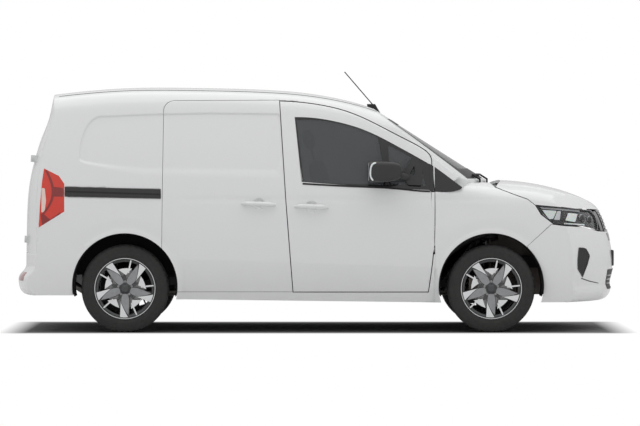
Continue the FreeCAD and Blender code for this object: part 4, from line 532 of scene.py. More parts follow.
def lens_look(tree, main, place, out):
    """Moulded red lens with ribs 7 mm apart."""
    ribs = add(tree, "ShaderNodeTexWave", {"Vector": place, "Scale": band_scale(0.007)}, wave_type="BANDS",
               bands_direction="Z")
    raised = add(tree, "ShaderNodeBump", {"Height": (ribs, "Fac"), "Distance": 0.0004, "Strength": 0.35})
    tree.links.new(raised.outputs[0], main.inputs["Normal"])


def honeycomb_with_painted_hole_shade(tree, main, place, out):
    """A pierced mesh behind an opening, its cells 14 mm across; the cells are painted near black as painted shade in
    the holes.
    """
    cells = add(tree, "ShaderNodeTexVoronoi", {"Vector": place, "Scale": 1 / 0.0143, "Randomness": 0.0},
                feature="DISTANCE_TO_EDGE")
    # painted shade: near black away from the ribs, where the holes are
    tint = ramp(tree, (cells, "Distance"), [(0.0, srgb("#2E2E2F")), (0.10, srgb("#2A2A2B")), (0.16, srgb("#060606"))])
    tree.links.new(tint.outputs[0], main.inputs["Base Color"])


# sprayed acrylic enamel under clear coat: a bright white with a soft broad gleam
paint = material("white_body_paint", "#E9EAEA", 0.42, build=paint_look, Coat_Weight=1.0,
                 Coat_Roughness=0.05, Specular_IOR_Level=0.4)
# the same enamel without polish, inside the doors and the load space: flatter white
inner_paint = material("inner_body_paint", "#DFE1E1", 0.5, vary=("#D6D8D8", 0.2), rough_vary=0.08, Coat_Weight=0.5)
# moulded and grained polypropylene: dull dark grey with a fine grain
trim = material("grained_black_plastic", "#2E2E2F", 0.55, vary=("#363637", 0.08), bump=(0.0012, 0.0004, 0.5),
                rough_vary=0.08)
# moulded acrylic, polished: near black with sharp reflections
gloss_black = material("gloss_black_plastic", "#121213", 0.16, vary=("#18181A", 0.1), rough_vary=0.04,
                       Coat_Weight=0.6, Coat_Roughness=0.06)
# extruded rubber: matt black lines between panels
rubber = material("black_rubber_seal", "#1B1B1B", 0.7, vary=("#242424", 0.03), bump=(0.002, 0.0003, 0.4))
# vulcanised rubber: dark grey with a dusty bloom
tyre_rubber = material("tyre_rubber", "#2F2F2F", 0.78, build=tyre_look, Specular_IOR_Level=0.35)
# aluminium, turned after casting: bright faces with fine rings
machined = material("machined_aluminium", "#EDEEEF", 0.3, metal=1.0, build=brushed_look)
# lacquer on cast aluminium: dark grey behind the blades
rim_dark = material("dark_rim_lacquer", "#3C3D3F", 0.38, vary=("#343537", 0.03), rough_vary=0.06, Coat_Weight=0.7,
                    Coat_Roughness=0.1)
# metallic lacquer: mid grey petals
rim_grey = material("grey_rim_lacquer", "#A9AAAC", 0.32, metal=0.7, vary=("#8F9092", 0.03), rough_vary=0.08)
# cast iron with a film of rust: dull brown grey
cast = material("cast_iron", "#6B6967", 0.5, metal=0.9, vary=("#5A4F48", 0.03), bump=(0.003, 0.0006, 0.4),
                rough_vary=0.1)
# turned iron brake disc: light grey with fine rings
disc_steel = material("turned_brake_steel", "#A5A5A6", 0.34, metal=1.0, vary=("#8F8E8D", 0.02), build=brushed_look)
# vacuum plated plastic: mirrors and lamp reflectors
chrome = material("reflector_chrome", "#E4E6E8", 0.12, metal=1.0, vary=("#D8DADC", 0.03), rough_vary=0.04)
# sprayed stone guard: black with a coarse orange peel
under = material("stone_guard_coat", "#1E1E1F", 0.85, vary=("#2B2A29", 0.12), bump=(0.006, 0.0012, 0.6))
# pressed polyester fleece: takes nearly all light inside the arches
fleece = material("arch_liner_fleece", "#101010", 0.95, vary=("#171717", 0.05), bump=(0.003, 0.001, 0.7))
# rolled steel, used: dull grey exhaust
steel = material("bare_steel", "#8C8C8D", 0.42, metal=1.0, vary=("#7A746E", 0.06), rough_vary=0.12)
# dipped chassis paint: even black with some sheen
black_paint = material("black_chassis_paint", "#191919", 0.5, vary=("#222120", 0.1), rough_vary=0.12,
                       bump=(0.004, 0.0005, 0.3))
# woven polyester: dark seat covers with a soft edge light
cloth = material("woven_seat_cloth", "#2C2D30", 0.92, build=weave_look, Sheen_Weight=0.3)
# slush moulded skin: soft dark grey with a fine grain
dash_plastic = material("soft_dash_plastic", "#2A2B2D", 0.6, vary=("#323335", 0.06), bump=(0.0015, 0.0004, 0.5),
                        rough_vary=0.06)
# rolled rubber sheet: flat dark floor
mat_floor = material("load_floor_rubber", "#2A2A2A", 0.8, vary=("#343434", 0.1), bump=(0.004, 0.001, 0.5))
# painted pressed steel: plain grey wall
board = material("painted_bulkhead_steel", "#8F9192", 0.5, vary=("#858788", 0.3), rough_vary=0.08)
# reflective film with nothing printed: pale grey
plate = material("blank_plate_film", "#D8D9D6", 0.35, vary=("#CFD0CD", 0.05), rough_vary=0.05)
# moulded acrylic light guide: milky white; on the headlamp's reflector it is a painted reflection in place of chrome
milky_white_and_painted_reflection = material("white_guide_and_painted_reflection", "#F6F6F4", 0.25, vary=("#EDEDEB", 0.02), Subsurface_Weight=0.2)
# moulded acrylic lens: clear bright red
red_lens = material("red_lamp_lens", "#F0361A", 0.12, vary=("#E22C14", 0.05), build=lens_look, Coat_Weight=1.0,
                    Coat_Roughness=0.03, Transmission_Weight=0.15)
# moulded acrylic over an unlit guide: deep red
dark_red = material("dark_red_lamp_tube", "#7E0D0A", 0.15, vary=("#930F0B", 0.03), Coat_Weight=1.0)
# moulded acrylic reversing lens: pale pink over red
pale_lens = material("pale_lamp_lens", "#E9C9BE", 0.15, vary=("#F1DAD2", 0.02), Coat_Weight=1.0)
# moulded mesh: lighter ribs, with the cells painted near black as painted shade in the holes
black_mesh_with_painted_holes = material("pierced_black_mesh_with_painted_hole_shade", "#1A1A1B", 0.5, build=honeycomb_with_painted_hole_shade)


def glass_material(name, tint, cover, specular=0.5):
    """Glass seen from outside: a dark film that shows part of what is behind it."""
    def wavy(tree, main, place, out):
        ripple = noise(tree, place, 0.4, 1.0)
        wave = add(tree, "ShaderNodeBump", {"Height": (ripple, "Fac"), "Distance": 0.0004, "Strength": 0.15})
        tree.links.new(wave.outputs[0], main.inputs["Normal"])
    return material(name, tint, 0.02, build=wavy, Alpha=cover, Specular_IOR_Level=specular)


# float glass, seen against the light sky: side windows, screen and lamp covers
side_glass = glass_material("tinted_side_glass", "#55585A", 0.72)
screen_glass = glass_material("laminated_screen_glass", "#3E4040", 0.80, 0.12)
clear_lens = glass_material("clear_lamp_lens", "#9A9C9E", 0.05, 0.45)
# fired ceramic ink on the glass edge: matt black
frit = material("black_ceramic_edge", "#19191A", 0.4, vary=("#1F1F20", 0.05), rough_vary=0.05, Specular_IOR_Level=0.2)

# ---- body panels: the solids' own shapes, finely divided, smoothed and pressed ----
RECESS = [(-1.774, 1.28), (-1.774, 1.34), (-1.759, 1.432), (-1.735, 1.50), (-1.708, 1.55), (-1.672, 1.588),
          (-1.627, 1.609), (-1.20, 1.626), (-0.80, 1.634), (-0.289, 1.628), (-0.272, 1.60), (-0.245, 1.20),
          (-0.250, 1.15), (-0.30, 1.138), (-0.80, 1.150), (-1.30, 1.160), (-1.50, 1.195), (-1.62, 1.22),
          (-1.72, 1.245), (-1.76, 1.262)]
HANDLES = {"front_door": (-0.047, 0.932, 0.078, 0.047), "sliding_door": (-0.437, 0.953, 0.078, 0.047)}
ARCHES = [(FRONT_AXLE, WHEEL_Z + 0.020), (REAR_AXLE, WHEEL_Z + 0.020)]
ARCH_RADIUS = 0.391


def inside_distance(points, x, z):
    """How far each place lies inside a closed outline; negative outside."""
    shape = np.asarray(points)
    start, end = shape, np.roll(shape, -1, axis=0)
    run = end - start
    place = np.stack([x, z], -1)[:, None, :]
    share = np.clip(((place - start) * run).sum(-1) / (run ** 2).sum(-1), 0, 1)
    away = np.linalg.norm(place - (start + run * share[..., None]), axis=-1).min(1)
    px, pz = x[:, None], z[:, None]
    crosses = ((start[:, 1] > pz) != (end[:, 1] > pz)) & (
        px < start[:, 0] + (pz - start[:, 1]) * run[:, 0] / np.where(run[:, 1] == 0, 1e-9, run[:, 1]))
    return np.where(crosses.sum(1) % 2 == 1, away, -away)


def side_pressing(x, z):
    """How far the side skin is pressed in: the upper recess, the turn under the doors, the arch lips."""
    deep = inside_distance(RECESS, x, z)
    soft = smooth_step(1.30, 1.17, z) * 0.075
    depth = 0.010 * smooth_step(0.0, 0.016 + 1.0, np.where(deep > 0, deep / (0.016 + soft) * 1.016, 0))
    crease = 0.536 - (x + 0.75) * 0.031
    between = smooth_step(-1.06, -0.98, x) * smooth_step(0.93, 0.86, x)
    below = np.clip(crease - z, 0, 0.4)
    depth += between * below * 0.13
    depth += 0.0022 * np.exp(-((z - 0.985) / 0.020) ** 2) * smooth_step(-1.15, -0.9, x) * smooth_step(1.5, 1.2, x)
    for ax, az in ARCHES:
        away = np.hypot(x - ax, z - az) - ARCH_RADIUS
        depth += 0.004 * smooth_step(0.020, 0.032, away) * smooth_step(0.12, 0.032, away)
    return depth


def cup_pressing(x, z, names):
    """The finger cups behind the door handles."""
    depth = np.zeros_like(x)
    for name in names:
        cx, cz, rx, rz = HANDLES[name]
        far = np.hypot((x - cx) / (rx * 0.62), (z - cz) / rz)
        depth += 0.020 * smooth_step(1.0, 0.55, far)
    return depth


REAR_PANELS = [[(-0.625, 1.13), (-0.575, 1.50), (-0.190, 1.52), (-0.190, 1.12)],
               [(0.010, 1.12), (0.010, 1.52), (0.560, 1.50), (0.615, 1.13)]]


def rear_pressing(y, z):
    """The blanked window panels of the rear doors."""
    deep = np.maximum(*[inside_distance(panel, y, z) for panel in REAR_PANELS])
    return 0.009 * smooth_step(0.0, 0.028, deep)


def slice_faces(bm, faces, axis, planes):
    """Cuts faces along planes square to an axis, each plane only where it crosses."""
    done, active = [], list(faces)
    normal = Vector([1.0 if i == axis else 0.0 for i in range(3)])
    for place in planes:
        crossing, keep = [], []
        for face in active:
            reach = [v.co[axis] for v in face.verts]
            low, high = min(reach), max(reach)
            if high <= place + 1e-5:
                done.append(face)
            elif low >= place - 1e-5:
                keep.append(face)
            else:
                crossing.append(face)
        if crossing:
            verts = {v for f in crossing for v in f.verts}
            edges = {e for f in crossing for e in f.edges}
            cut = bmesh.ops.bisect_plane(bm, geom=list(verts) + list(edges) + crossing, dist=1e-6,
                                         plane_co=normal * place, plane_no=normal)
            for item in cut["geom"]:
                if isinstance(item, bmesh.types.BMFace):
                    (keep if item.calc_center_median()[axis] > place else done).append(item)
        active = keep
    return done + active


def evened(bm, verts, rounds):
    """Takes the facets out of a finely divided surface and keeps its rounding; borders stay."""
    verts = [v for v in verts if all(e.is_manifold and len({f.material_index for f in e.link_faces}) == 1
                                     for e in v.link_edges)]
    bm.verts.index_update()
    index = {v: i for i, v in enumerate(verts)}
    every = {v.index: v for v in verts}
    for v in verts:
        for e in v.link_edges:
            other = e.other_vert(v)
            every[other.index] = other
    rows = {place: i for i, place in enumerate(every)}
    co = np.array([v.co for v in every.values()])
    first = np.array([rows[v.index] for v in verts for _ in v.link_edges])
    second = np.array([rows[e.other_vert(v).index] for v in verts for e in v.link_edges])
    free = np.array([rows[v.index] for v in verts])
    if not len(free):
        return
    weight = np.bincount(first, minlength=len(co))[free][:, None]
    for _ in range(rounds):
        for factor in (0.5, -0.53):
            total = np.zeros_like(co)
            np.add.at(total, first, co[second])
            co[free] += factor * (total[free] / weight - co[free])
    for v, place in zip(verts, co[free]):
        v.co = place


def outer_faces(bm, trees, reach):
    """The faces of a panel that lie along the body's outside and look outwards."""
    found = []
    for face in bm.faces:
        centre = face.calc_center_median()
        face.material_index = 1
        for tree in trees:
            hit, normal, _, away = tree.find_nearest(centre, reach)
            if hit is None:
                continue
            way = {id(tail_tree): Vector((-1, 0, 0)), id(bumper_tree): Vector((-1, 0, 0)),
                   id(front_tree): Vector((1, 0, 0))}.get(id(tree), Vector((0, centre.y, centre.z - 0.8)))
            if normal.dot(way) < 0:
                normal = -normal
            if normal.dot(face.normal) > 0.9:
                found.append(face)
                face.material_index = 0
                break
    return found


def dressed(node, body, steps, trees, cups=(), press=True, stuff=None, dense=(), rounds=0, reach=0.006):
    """A body panel: its solid's mesh, divided on a grid, smoothed and pressed."""
    bm = bmesh.new()
    bm.from_mesh(nodes[node].data)
    bmesh.ops.remove_doubles(bm, verts=bm.verts, dist=2e-5)
    bmesh.ops.dissolve_degenerate(bm, edges=bm.edges, dist=1e-5)
    outer = outer_faces(bm, trees, reach)
    low, high = [Vector(corner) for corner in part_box(node)]
    grain = 1.0
    for axis, step in enumerate(steps):
        if step:
            first = math.floor(low[axis] / (step * grain)) * step * grain
            outer = slice_faces(bm, outer, axis, np.arange(first, high[axis], step * grain) + 0.00037)
    if press and cups != () or node.startswith("body_side"):
        centres = [f.calc_center_median() for f in outer]
        deep = inside_distance(RECESS, np.array([c.x for c in centres]), np.array([c.z for c in centres]))
        near = [f for f, d in zip(outer, deep) if abs(d - 0.006) < 0.022]
        rest = [f for f, d in zip(outer, deep) if abs(d - 0.006) >= 0.022]
        for axis in (0, 2):
            near = slice_faces(bm, near, axis, np.arange(-1.9, 1.8, 0.0055 * grain) + 0.00021)
        outer = rest + near
    if node == "bonnet":
        outer = slice_faces(bm, outer, 1, [side * (0.64 + 0.006 * k) for side in (-1, 1) for k in range(9)])
    for box, step in dense:
        near = [f for f in outer if box[0] < f.calc_center_median().x < box[1]
                and box[2] < f.calc_center_median().z < box[3]]
        rest = set(outer) - set(near)
        near = slice_faces(bm, near, 0, np.arange(box[0], box[1], step))
        near = slice_faces(bm, near, 2, np.arange(box[2], box[3], step))
        outer = list(rest) + near
    verts = list({v for f in outer if f.is_valid for v in f.verts})
    if rounds:
        evened(bm, verts, rounds)
        for v in verts:
            v.co.x = min(max(v.co.x, low.x), high.x)
    else:
        for v in verts:
            best, near = None, 0.0045
            for tree in trees:
                hit, _, _, away = tree.find_nearest(v.co, near)
                if hit is not None and away < near:
                    best, near = hit, away
            if best is not None:
                v.co = best
    if press:
        x = np.array([v.co.x for v in verts])
        z = np.array([v.co.z for v in verts])
        depth = side_pressing(x, z) + cup_pressing(x, z, cups)
        for v, d in zip(verts, depth):
            if abs(v.co.y) > 0.6:
                v.co.y -= math.copysign(d, v.co.y)
    if node == "front_bumper":
        for v in verts:
            seat = (smooth_step(0.30, 0.268, abs(v.co.y)) * smooth_step(0.452, 0.474, v.co.z)
                    * smooth_step(0.622, 0.600, v.co.z))
            v.co.x -= max(0.0, v.co.x - 2.233) * float(seat)
    if node == "bonnet":
        for v in verts:
            away = abs(v.co.y)
            ridge = smooth_step(0.652, 0.676, away) * smooth_step(0.85, 0.72, away)
            v.co.z -= 0.008 * float(ridge * smooth_step(1.34, 1.42, v.co.x) * smooth_step(2.0, 1.80, v.co.x))
    if node.startswith("rear_door"):
        depth = rear_pressing(np.array([v.co.y for v in verts]), np.array([v.co.z for v in verts]))
        for v, d in zip(verts, depth):
            v.co.x += d
    bmesh.ops.triangulate(bm, faces=[f for f in bm.faces if len(f.verts) > 4])
    for face in bm.faces:
        centre = face.calc_center_median()
        hub_distance = min(math.hypot(centre.x - x, centre.z - z) for x, z in ARCHES)
        if face.material_index == 1 and hub_distance < ARCH_RADIUS - 0.001:
            face.material_index = 2
    return shaped(node + "_panel", bm, body, stuff or paint, inner_paint if stuff is None else stuff, fleece,
                  smooth=32.0, replaces=[node], normals=False)


SIDE_STEP = (0.016, 0, 0.016)
handle_boxes = {name: ((cx - rx * 0.8, cx + rx * 0.8, cz - rz * 1.2, cz + rz * 1.2), 0.005)
                for name, (cx, cz, rx, rz) in HANDLES.items()}
dressed("body_side_right", "body", SIDE_STEP, CABIN)
dressed("body_side_left", "body", SIDE_STEP, CABIN)
dressed("sliding_door", "body", SIDE_STEP, CABIN[:1], cups=["sliding_door"], dense=[handle_boxes["sliding_door"]])
for side in ("right", "left"):
    dressed("front_door_" + side, "front_door_" + side, SIDE_STEP, CABIN[:1], cups=["front_door"],
            dense=[handle_boxes["front_door"]])
    dressed("wing_" + side, "body", (0.018, 0, 0.018), [nose_tree, cabin_tree, front_tree], rounds=40, reach=0.014)
    dressed("rear_door_" + side, "rear_door_" + side, (0, 0.022, 0.018), CABIN[1:], press=False)
dressed("bonnet", "bonnet", (0.022, 0.022, 0), NOSE, press=False, rounds=40, reach=0.014)
dressed("roof_panel", "body", (0.04, 0.04, 0), CABIN[:1], press=False)
dressed("front_bumper", "body", (0.022, 0.022, 0.018), NOSE, press=False, rounds=40, reach=0.014)
dressed("rear_bumper", "body", (0.022, 0.022, 0.018), REAR_BUMPER, press=False, rounds=40, reach=0.014)


def skin(name, body, kind, loops, inset, depth, *stuff, side=-1, step=0.02, smooth=40.0, replaces=(), slot=None,
         pressed=False):
    """A thin piece that follows the body's surface inside closed outlines in one view, given in millimetres."""
    bm = bmesh.new()
    axis, (first, second) = RAYS[kind]
    edges = []
    for loop in loops:
        ring = []
        for u, v in loop:
            place = Vector((0, 0, 0))
            place[first], place[second] = u / 1000, v / 1000
            ring.append(bm.verts.new(place))
        edges += [bm.edges.new((a, b)) for a, b in zip(ring, ring[1:] + ring[:1])]
    bmesh.ops.triangle_fill(bm, edges=edges, use_beauty=True, use_dissolve=False)
    faces = bm.faces[:]
    for way in (first, second):
        reach = [v.co[way] for v in bm.verts]
        planes = np.arange(math.floor(min(reach) / step) * step, max(reach), step) + 0.00013
        faces = slice_faces(bm, faces, way, planes)
    bmesh.ops.remove_doubles(bm, verts=bm.verts, dist=1e-4)
    front = {}
    for v in bm.verts[:]:
        more = float(side_pressing(np.array([v.co.x]), np.array([v.co.z]))[0]) if pressed else 0.0
        front[v] = on_body(kind, v.co[first], v.co[second], side, inset + more)
    sign = SIGNS.get(kind, side)
    tops = bm.faces[:]
    rim = [e for e in bm.edges if len(e.link_faces) == 1]
    low = {}
    for v in list(front):
        back = front[v].copy()
        back[axis] -= sign * depth
        low[v] = bm.verts.new(back)
    for v, place in front.items():
        v.co = place
    for face in tops:
        bm.faces.new([low[v] for v in reversed(face.verts)])
    for e in rim:
        a, b = e.verts
        bm.faces.new((a, b, low[b], low[a]))
    for face in bm.faces:
        face.material_index = 0
    return shaped(name, bm, body, *stuff, smooth=smooth, replaces=replaces, slot=slot)


def rounded(points, radius, steps=4):
    """A closed outline with its corners rounded."""
    made = []
    count = len(points)
    for i in range(count):
        corner = Vector(points[i])
        before, after = Vector(points[i - 1]) - corner, Vector(points[(i + 1) % count]) - corner
        reach = min(radius, before.length * 0.45, after.length * 0.45)
        a, b = corner + before.normalized() * reach, corner + after.normalized() * reach
        for k in range(steps + 1):
            t = k / steps
            made.append(tuple(a * (1 - t) ** 2 + corner * 2 * t * (1 - t) + b * t ** 2))
    return made


def spread(points, count):
    """A smooth open outline through points."""
    return [tuple(p) for p in through(points, count)]


def circle_at(u, v, radius, count=20):
    """A round outline."""
    return [(u + radius * math.cos(a), v + radius * math.sin(a)) for a in np.linspace(0, 2 * math.pi, count, False)]


# ---- side windows: glass, ceramic edge, divider and sail panel ----
TOP_LINE = spread([(-177, 1612), (12, 1603), (215, 1553), (358, 1506), (490, 1456), (623, 1385), (735, 1319),
                   (833, 1250)], 30)
BASE_LINE = spread([(833, 1047), (776, 1049), (623, 1064), (267, 1084), (-112, 1104)], 16)
GLASS_TOP = spread([(-158, 1578), (22, 1573), (150, 1553), (262, 1525), (330, 1502), (441, 1452)], 20)
GLASS_EDGE = [(452, 1430), (466, 1340), (480, 1240), (492, 1108)]
GLASS_BASE = spread([(482, 1092), (300, 1098), (100, 1106), (-104, 1118)], 10)
QUARTER = rounded([(524, 1390), (640, 1330), (758, 1252), (800, 1090), (538, 1098)], 14)
for hand, side in HANDS:
    door = "front_door_" + hand
    window = GLASS_TOP + GLASS_EDGE + GLASS_BASE
    outer = [(x, z) for x, z in TOP_LINE] + BASE_LINE
    skin("window_frit_" + hand, door, "side", [outer, window, QUARTER], 0.005, 0.004, gloss_black, side=side,
         replaces=["front_glass_" + hand], slot="window_glass")
    skin("window_glass_" + hand, door, "side", [window], 0.0055, 0.0035, side_glass, side=side, slot="window_glass")
    skin("quarter_glass_" + hand, door, "side", [QUARTER], 0.0055, 0.0035, side_glass, side=side, slot="window_glass")
    divider = [(455, 1448), (520, 1418), (530, 1095), (500, 1096), (486, 1240), (468, 1360)]
    skin("window_divider_" + hand, door, "side", [divider], 0.0022, 0.003, trim, side=side)
    base = [(x, z + 6) for x, z in BASE_LINE] + [(x, z - 7) for x, z in BASE_LINE[::-1]]
    skin("waist_seal_" + hand, door, "side", [base], -0.003, 0.008, rubber, side=side)
    corner = [(831, 1251), (858, 1233), (860, 1047), (831, 1047)]
    skin("window_corner_" + hand, door, "side", [corner], -0.0008, 0.003, gloss_black, side=side)
    lip = [(866, 1041), (865, 795), (861, 600), (857, 600), (852, 795), (842, 1041)]
    skin("door_front_edge_" + hand, door, "side", [lip], 0.0, 0.0018, paint, side=side, pressed=True)
    sail = spread([(867, 1228), (959, 1161), (1071, 1076)], 8) + spread([(1060, 1062), (1020, 1049), (939, 1041),
                                                                        (867, 1044)], 8)
    skin("sail_panel_" + hand, "body", "side", [sail], -0.002, 0.004, gloss_black, side=side)

# ---- door handles ----
for name, x0, x1, z0, door, hand, side in (
        ("front_door_right", -172, 78, 934, "front_door_right", "right", -1),
        ("front_door_left", -172, 78, 934, "front_door_left", "left", 1),
        ("sliding_door", -561, -312, 953, "body", "right", -1)):
    bm = bmesh.new()
    path, widths = [], []
    for t in np.linspace(0, 1, 25):
        x = (x0 + (x1 - x0) * t) / 1000
        z = (z0 + 4 * (1 - 2 * t) + 3 * math.sin(math.pi * t)) / 1000
        rise = 0.004 + 0.024 * min(1, math.sin(math.pi * min(max((t - 0.02) / 0.96, 0), 1)) * 2.2)
        place = on_body("side", x, z, side)
        place.y += side * rise
        path.append(place)
        widths.append(0.0155 * (0.55 + 0.45 * min(1, math.sin(math.pi * min(max(t, 0.02), 0.98)) * 2.4)))
    tube(bm, path, widths, 20, flat=1.0, up=(0, 1, 0))
    for place in (path[2], path[-3]):
        foot = on_body("side", place.x, place.z, side, 0.004)
        tube(bm, [foot, place], [0.012, 0.010], 16)
    shaped("handle_" + name, bm, door, paint, smooth=40)


# ---- wheels ----
def wheel_face(bm, points, top, bottom, face_index, side_index, turn=0.0):
    """A plate of the wheel's face: outline in radius and offset, spun to its place, with a chamfered edge."""
    part = bmesh.new()
    ring = [part.verts.new((t, 0, r)) for r, t in points]
    part.faces.new(ring)
    grown_faces = bmesh.ops.extrude_face_region(part, geom=part.faces[:])
    moved = [g for g in grown_faces["geom"] if isinstance(g, bmesh.types.BMVert)]
    for v in moved:
        v.co.y = 1.0
    bmesh.ops.recalc_face_normals(part, faces=part.faces)
    for face in part.faces:
        flat = abs(face.normal.y) > 0.9
        front = face.calc_center_median().y < 0.5
        face.material_index = face_index if flat and front else side_index
    front_edges = [e for e in part.edges if all(v.co.y < 0.5 for v in e.verts)]
    bmesh.ops.bevel(part, geom=front_edges, offset=0.0016, segments=2, affect="EDGES", profile=0.5,
                    material=-1)
    for v in part.verts:
        r = math.hypot(v.co.x, v.co.z)
        dish = 0.012 * smooth_step(0.16, 0.04, r)
        v.co.y = (top + float(dish)) * (1 - v.co.y) + (bottom + float(dish)) * v.co.y
    merge(bm, part, Matrix.Rotation(turn, 4, "Y"))


def rim_mesh():
    """One light-alloy wheel about its own centre, its outside towards -Y."""
    bm = bmesh.new()
    barrel = [(0.2265, -0.0925), (0.2255, -0.0950), (0.2215, -0.0955), (0.2180, -0.0945), (0.2145, -0.0900),
              (0.2120, -0.0830), (0.1990, -0.0760), (0.1965, -0.0300), (0.1900, 0.0300), (0.1930, 0.0700),
              (0.2120, 0.0860), (0.2215, 0.0955), (0.2265, 0.0930), (0.2250, 0.0890), (0.2190, 0.0870),
              (0.2050, 0.0790), (0.2010, 0.0300), (0.2020, -0.0300), (0.2045, -0.0780), (0.2190, -0.0865),
              (0.2255, -0.0885)]
    turned(bm, barrel, 120, material_index=1, closed=True)
    for face in bm.faces:
        centre = face.calc_center_median()
        if centre.y < -0.0935 and math.hypot(centre.x, centre.z) > 0.2215:
            face.material_index = 0
    top = -0.0865
    for k in range(5):
        down = math.radians(270 + 72 * k)
        turn = math.pi / 2 - down
        body = [(0.040, -0.024), (0.040, 0.024), (0.082, 0.034), (0.215, 0.029), (0.215, -0.038), (0.082, -0.033)]
        body = [(r, -t) for r, t in body]
        wheel_face(bm, body, top + 0.006, top + 0.040, 1, 1, turn)
        blade = [(0.082, -0.031), (0.109, -0.028), (0.141, -0.014), (0.186, 0.008), (0.219, 0.027),
                 (0.2215, -0.006), (0.2185, -0.038)]
        blade = [(r, -t) for r, t in blade]
        wheel_face(bm, blade, top, top + 0.012, 0, 1, turn)
        petal = [(0.042, -0.021), (0.040, 0.0), (0.042, 0.021), (0.082, 0.031), (0.130, 0.031), (0.196, 0.026),
                 (0.172, 0.006), (0.141, -0.011), (0.112, -0.024), (0.082, -0.029)]
        petal = [(r, -t) for r, t in petal]
        wheel_face(bm, petal, top + 0.003, top + 0.014, 2, 1, turn)
        gap = math.radians(306 + 72 * k)
        web = []
        for r, a in ((0.100, 4), (0.158, 20), (0.152, 4), (0.150, -8), (0.150, -20)):
            angle = math.radians(a)
            web.append((r * math.cos(angle), r * math.sin(angle)))
        wheel_face(bm, web[::-1], top + 0.002, top + 0.018, 0, 1, math.pi / 2 - gap)
        bar = [(0.118, -0.0065), (0.2195, -0.0055), (0.2195, 0.0055), (0.118, 0.0065)]
        wheel_face(bm, bar, top + 0.001, top + 0.016, 0, 1, math.pi / 2 - gap + math.radians(12))
        arm = [(0.026, -0.015), (0.026, 0.015), (0.066, 0.013), (0.098, 0.006), (0.104, 0.0), (0.098, -0.006),
               (0.066, -0.013)]
        wheel_face(bm, arm, top + 0.004, top + 0.030, 1, 1, math.pi / 2 - gap - math.radians(4))
    bolt = bmesh.new()
    turned(bolt, [(0.0, top + 0.008), (0.0075, top + 0.008), (0.0095, top + 0.010), (0.0095, top + 0.030)], 12,
           (0.052 * math.cos(gap), 0, 0.052 * math.sin(gap)))
    repeated(bm, bolt, 5, (0.0, 0.0, 0.0), (0.0, math.radians(72), 0.0), disc_steel, 3)
    turned(bm, [(0.0, top - 0.001), (0.022, top - 0.001), (0.026, top + 0.001), (0.0285, top + 0.004),
                (0.031, top + 0.006), (0.033, top + 0.012), (0.052, top + 0.022), (0.066, top + 0.028),
                (0.066, top + 0.060), (0.0, top + 0.060)], 48, material_index=1)
    turned(bm, [(0.0, -0.030), (0.072, -0.030), (0.075, -0.028), (0.075, -0.022), (0.142, -0.0225), (0.142, -0.0145),
                (0.128, -0.0145), (0.128, -0.0085), (0.142, -0.0085), (0.142, -0.0005), (0.078, -0.0005),
                (0.07, 0.012), (0.024, 0.012)], 96, material_index=3)
    turned(bm, [(0.024, 0.012), (0.024, -0.02), (0.0, -0.02)], 24, material_index=3)
    valve = math.radians(108)
    tube(bm, [(0.190 * math.cos(valve), -0.066, 0.190 * math.sin(valve)),
              (0.184 * math.cos(valve), -0.088, 0.184 * math.sin(valve))], [0.004, 0.003], 10, material_index=4)
    return bm


def tyre_mesh():
    """A road tyre with rim guard, sidewall rings, grooves and sipes."""
    bm = bmesh.new()
    side_line = [(0.2265, 0.0910), (0.2290, 0.0965), (0.2330, 0.0985), (0.2370, 0.0975), (0.2400, 0.0995),
                 (0.2520, 0.1013), (0.2640, 0.1020), (0.2646, 0.1012), (0.2668, 0.1012), (0.2674, 0.1021),
                 (0.2780, 0.1015), (0.2786, 0.1006), (0.2806, 0.1003), (0.2812, 0.1010), (0.2920, 0.0985),
                 (0.3010, 0.0950), (0.3085, 0.0905), (0.3150, 0.0855)]
    tread = [(0.3195, 0.0800), (0.3218, 0.0745), (0.3232, 0.0620), (0.3238, 0.0560), (0.3175, 0.0550),
             (0.3175, 0.0480), (0.3246, 0.0470), (0.3252, 0.0330), (0.3254, 0.0230), (0.3185, 0.0220),
             (0.3185, 0.0130), (0.3258, 0.0120), (0.3260, 0.0040)]
    half = side_line + tread
    profile = [(r, -y) for r, y in half] + [(r, y) for r, y in half[::-1]]
    inner = [(0.2265, 0.0870), (0.2100, 0.0800), (0.2065, 0.0600), (0.2065, -0.0600), (0.2100, -0.0800),
             (0.2265, -0.0870)]
    profile += inner
    sides = 180
    count = len(profile)
    rows = []
    for k in range(sides):
        a = 2 * math.pi * k / sides
        row = []
        for r, y in profile:
            cut = 0.0
            if r > 0.3186 and abs(y) > 0.056 and k % 4 == 0:
                cut = 0.0060
            elif r > 0.3186 and 0.02 < abs(y) < 0.05 and k % 4 == 2:
                cut = 0.0045
            elif 0.305 < r <= 0.3186 and abs(y) > 0.08 and k % 4 == 0:
                cut = 0.0025
            row.append(bm.verts.new(((r - cut) * math.sin(a), y, (r - cut) * math.cos(a))))
        rows.append(row)
    for k in range(sides):
        here, there = rows[k], rows[(k + 1) % sides]
        for i in range(count):
            j = (i + 1) % count
            bm.faces.new((here[i], here[j], there[j], there[i]))
    return bm


for end, x in (("front", FRONT_AXLE), ("rear", REAR_AXLE)):
    for hand, side in HANDS:
        place = Matrix.Translation((x, side * TRACK_HALF, WHEEL_Z)) @ Matrix.Scale(-side, 4, (0, 1, 0))
        wheel = "wheel_%s_%s" % (end, hand)
        for part, bm, stuff, angle in (("rim", rim_mesh(), (machined, rim_dark, rim_grey, disc_steel, rubber), 40),
                                       ("tyre", tyre_mesh(), (tyre_rubber,), 28)):
            bmesh.ops.transform(bm, matrix=place, verts=bm.verts)
            shaped("%s_detail_%s_%s" % (part, end, hand), bm, wheel, *stuff, smooth=angle,
                   replaces=["%s_%s_%s" % (part, end, hand)])

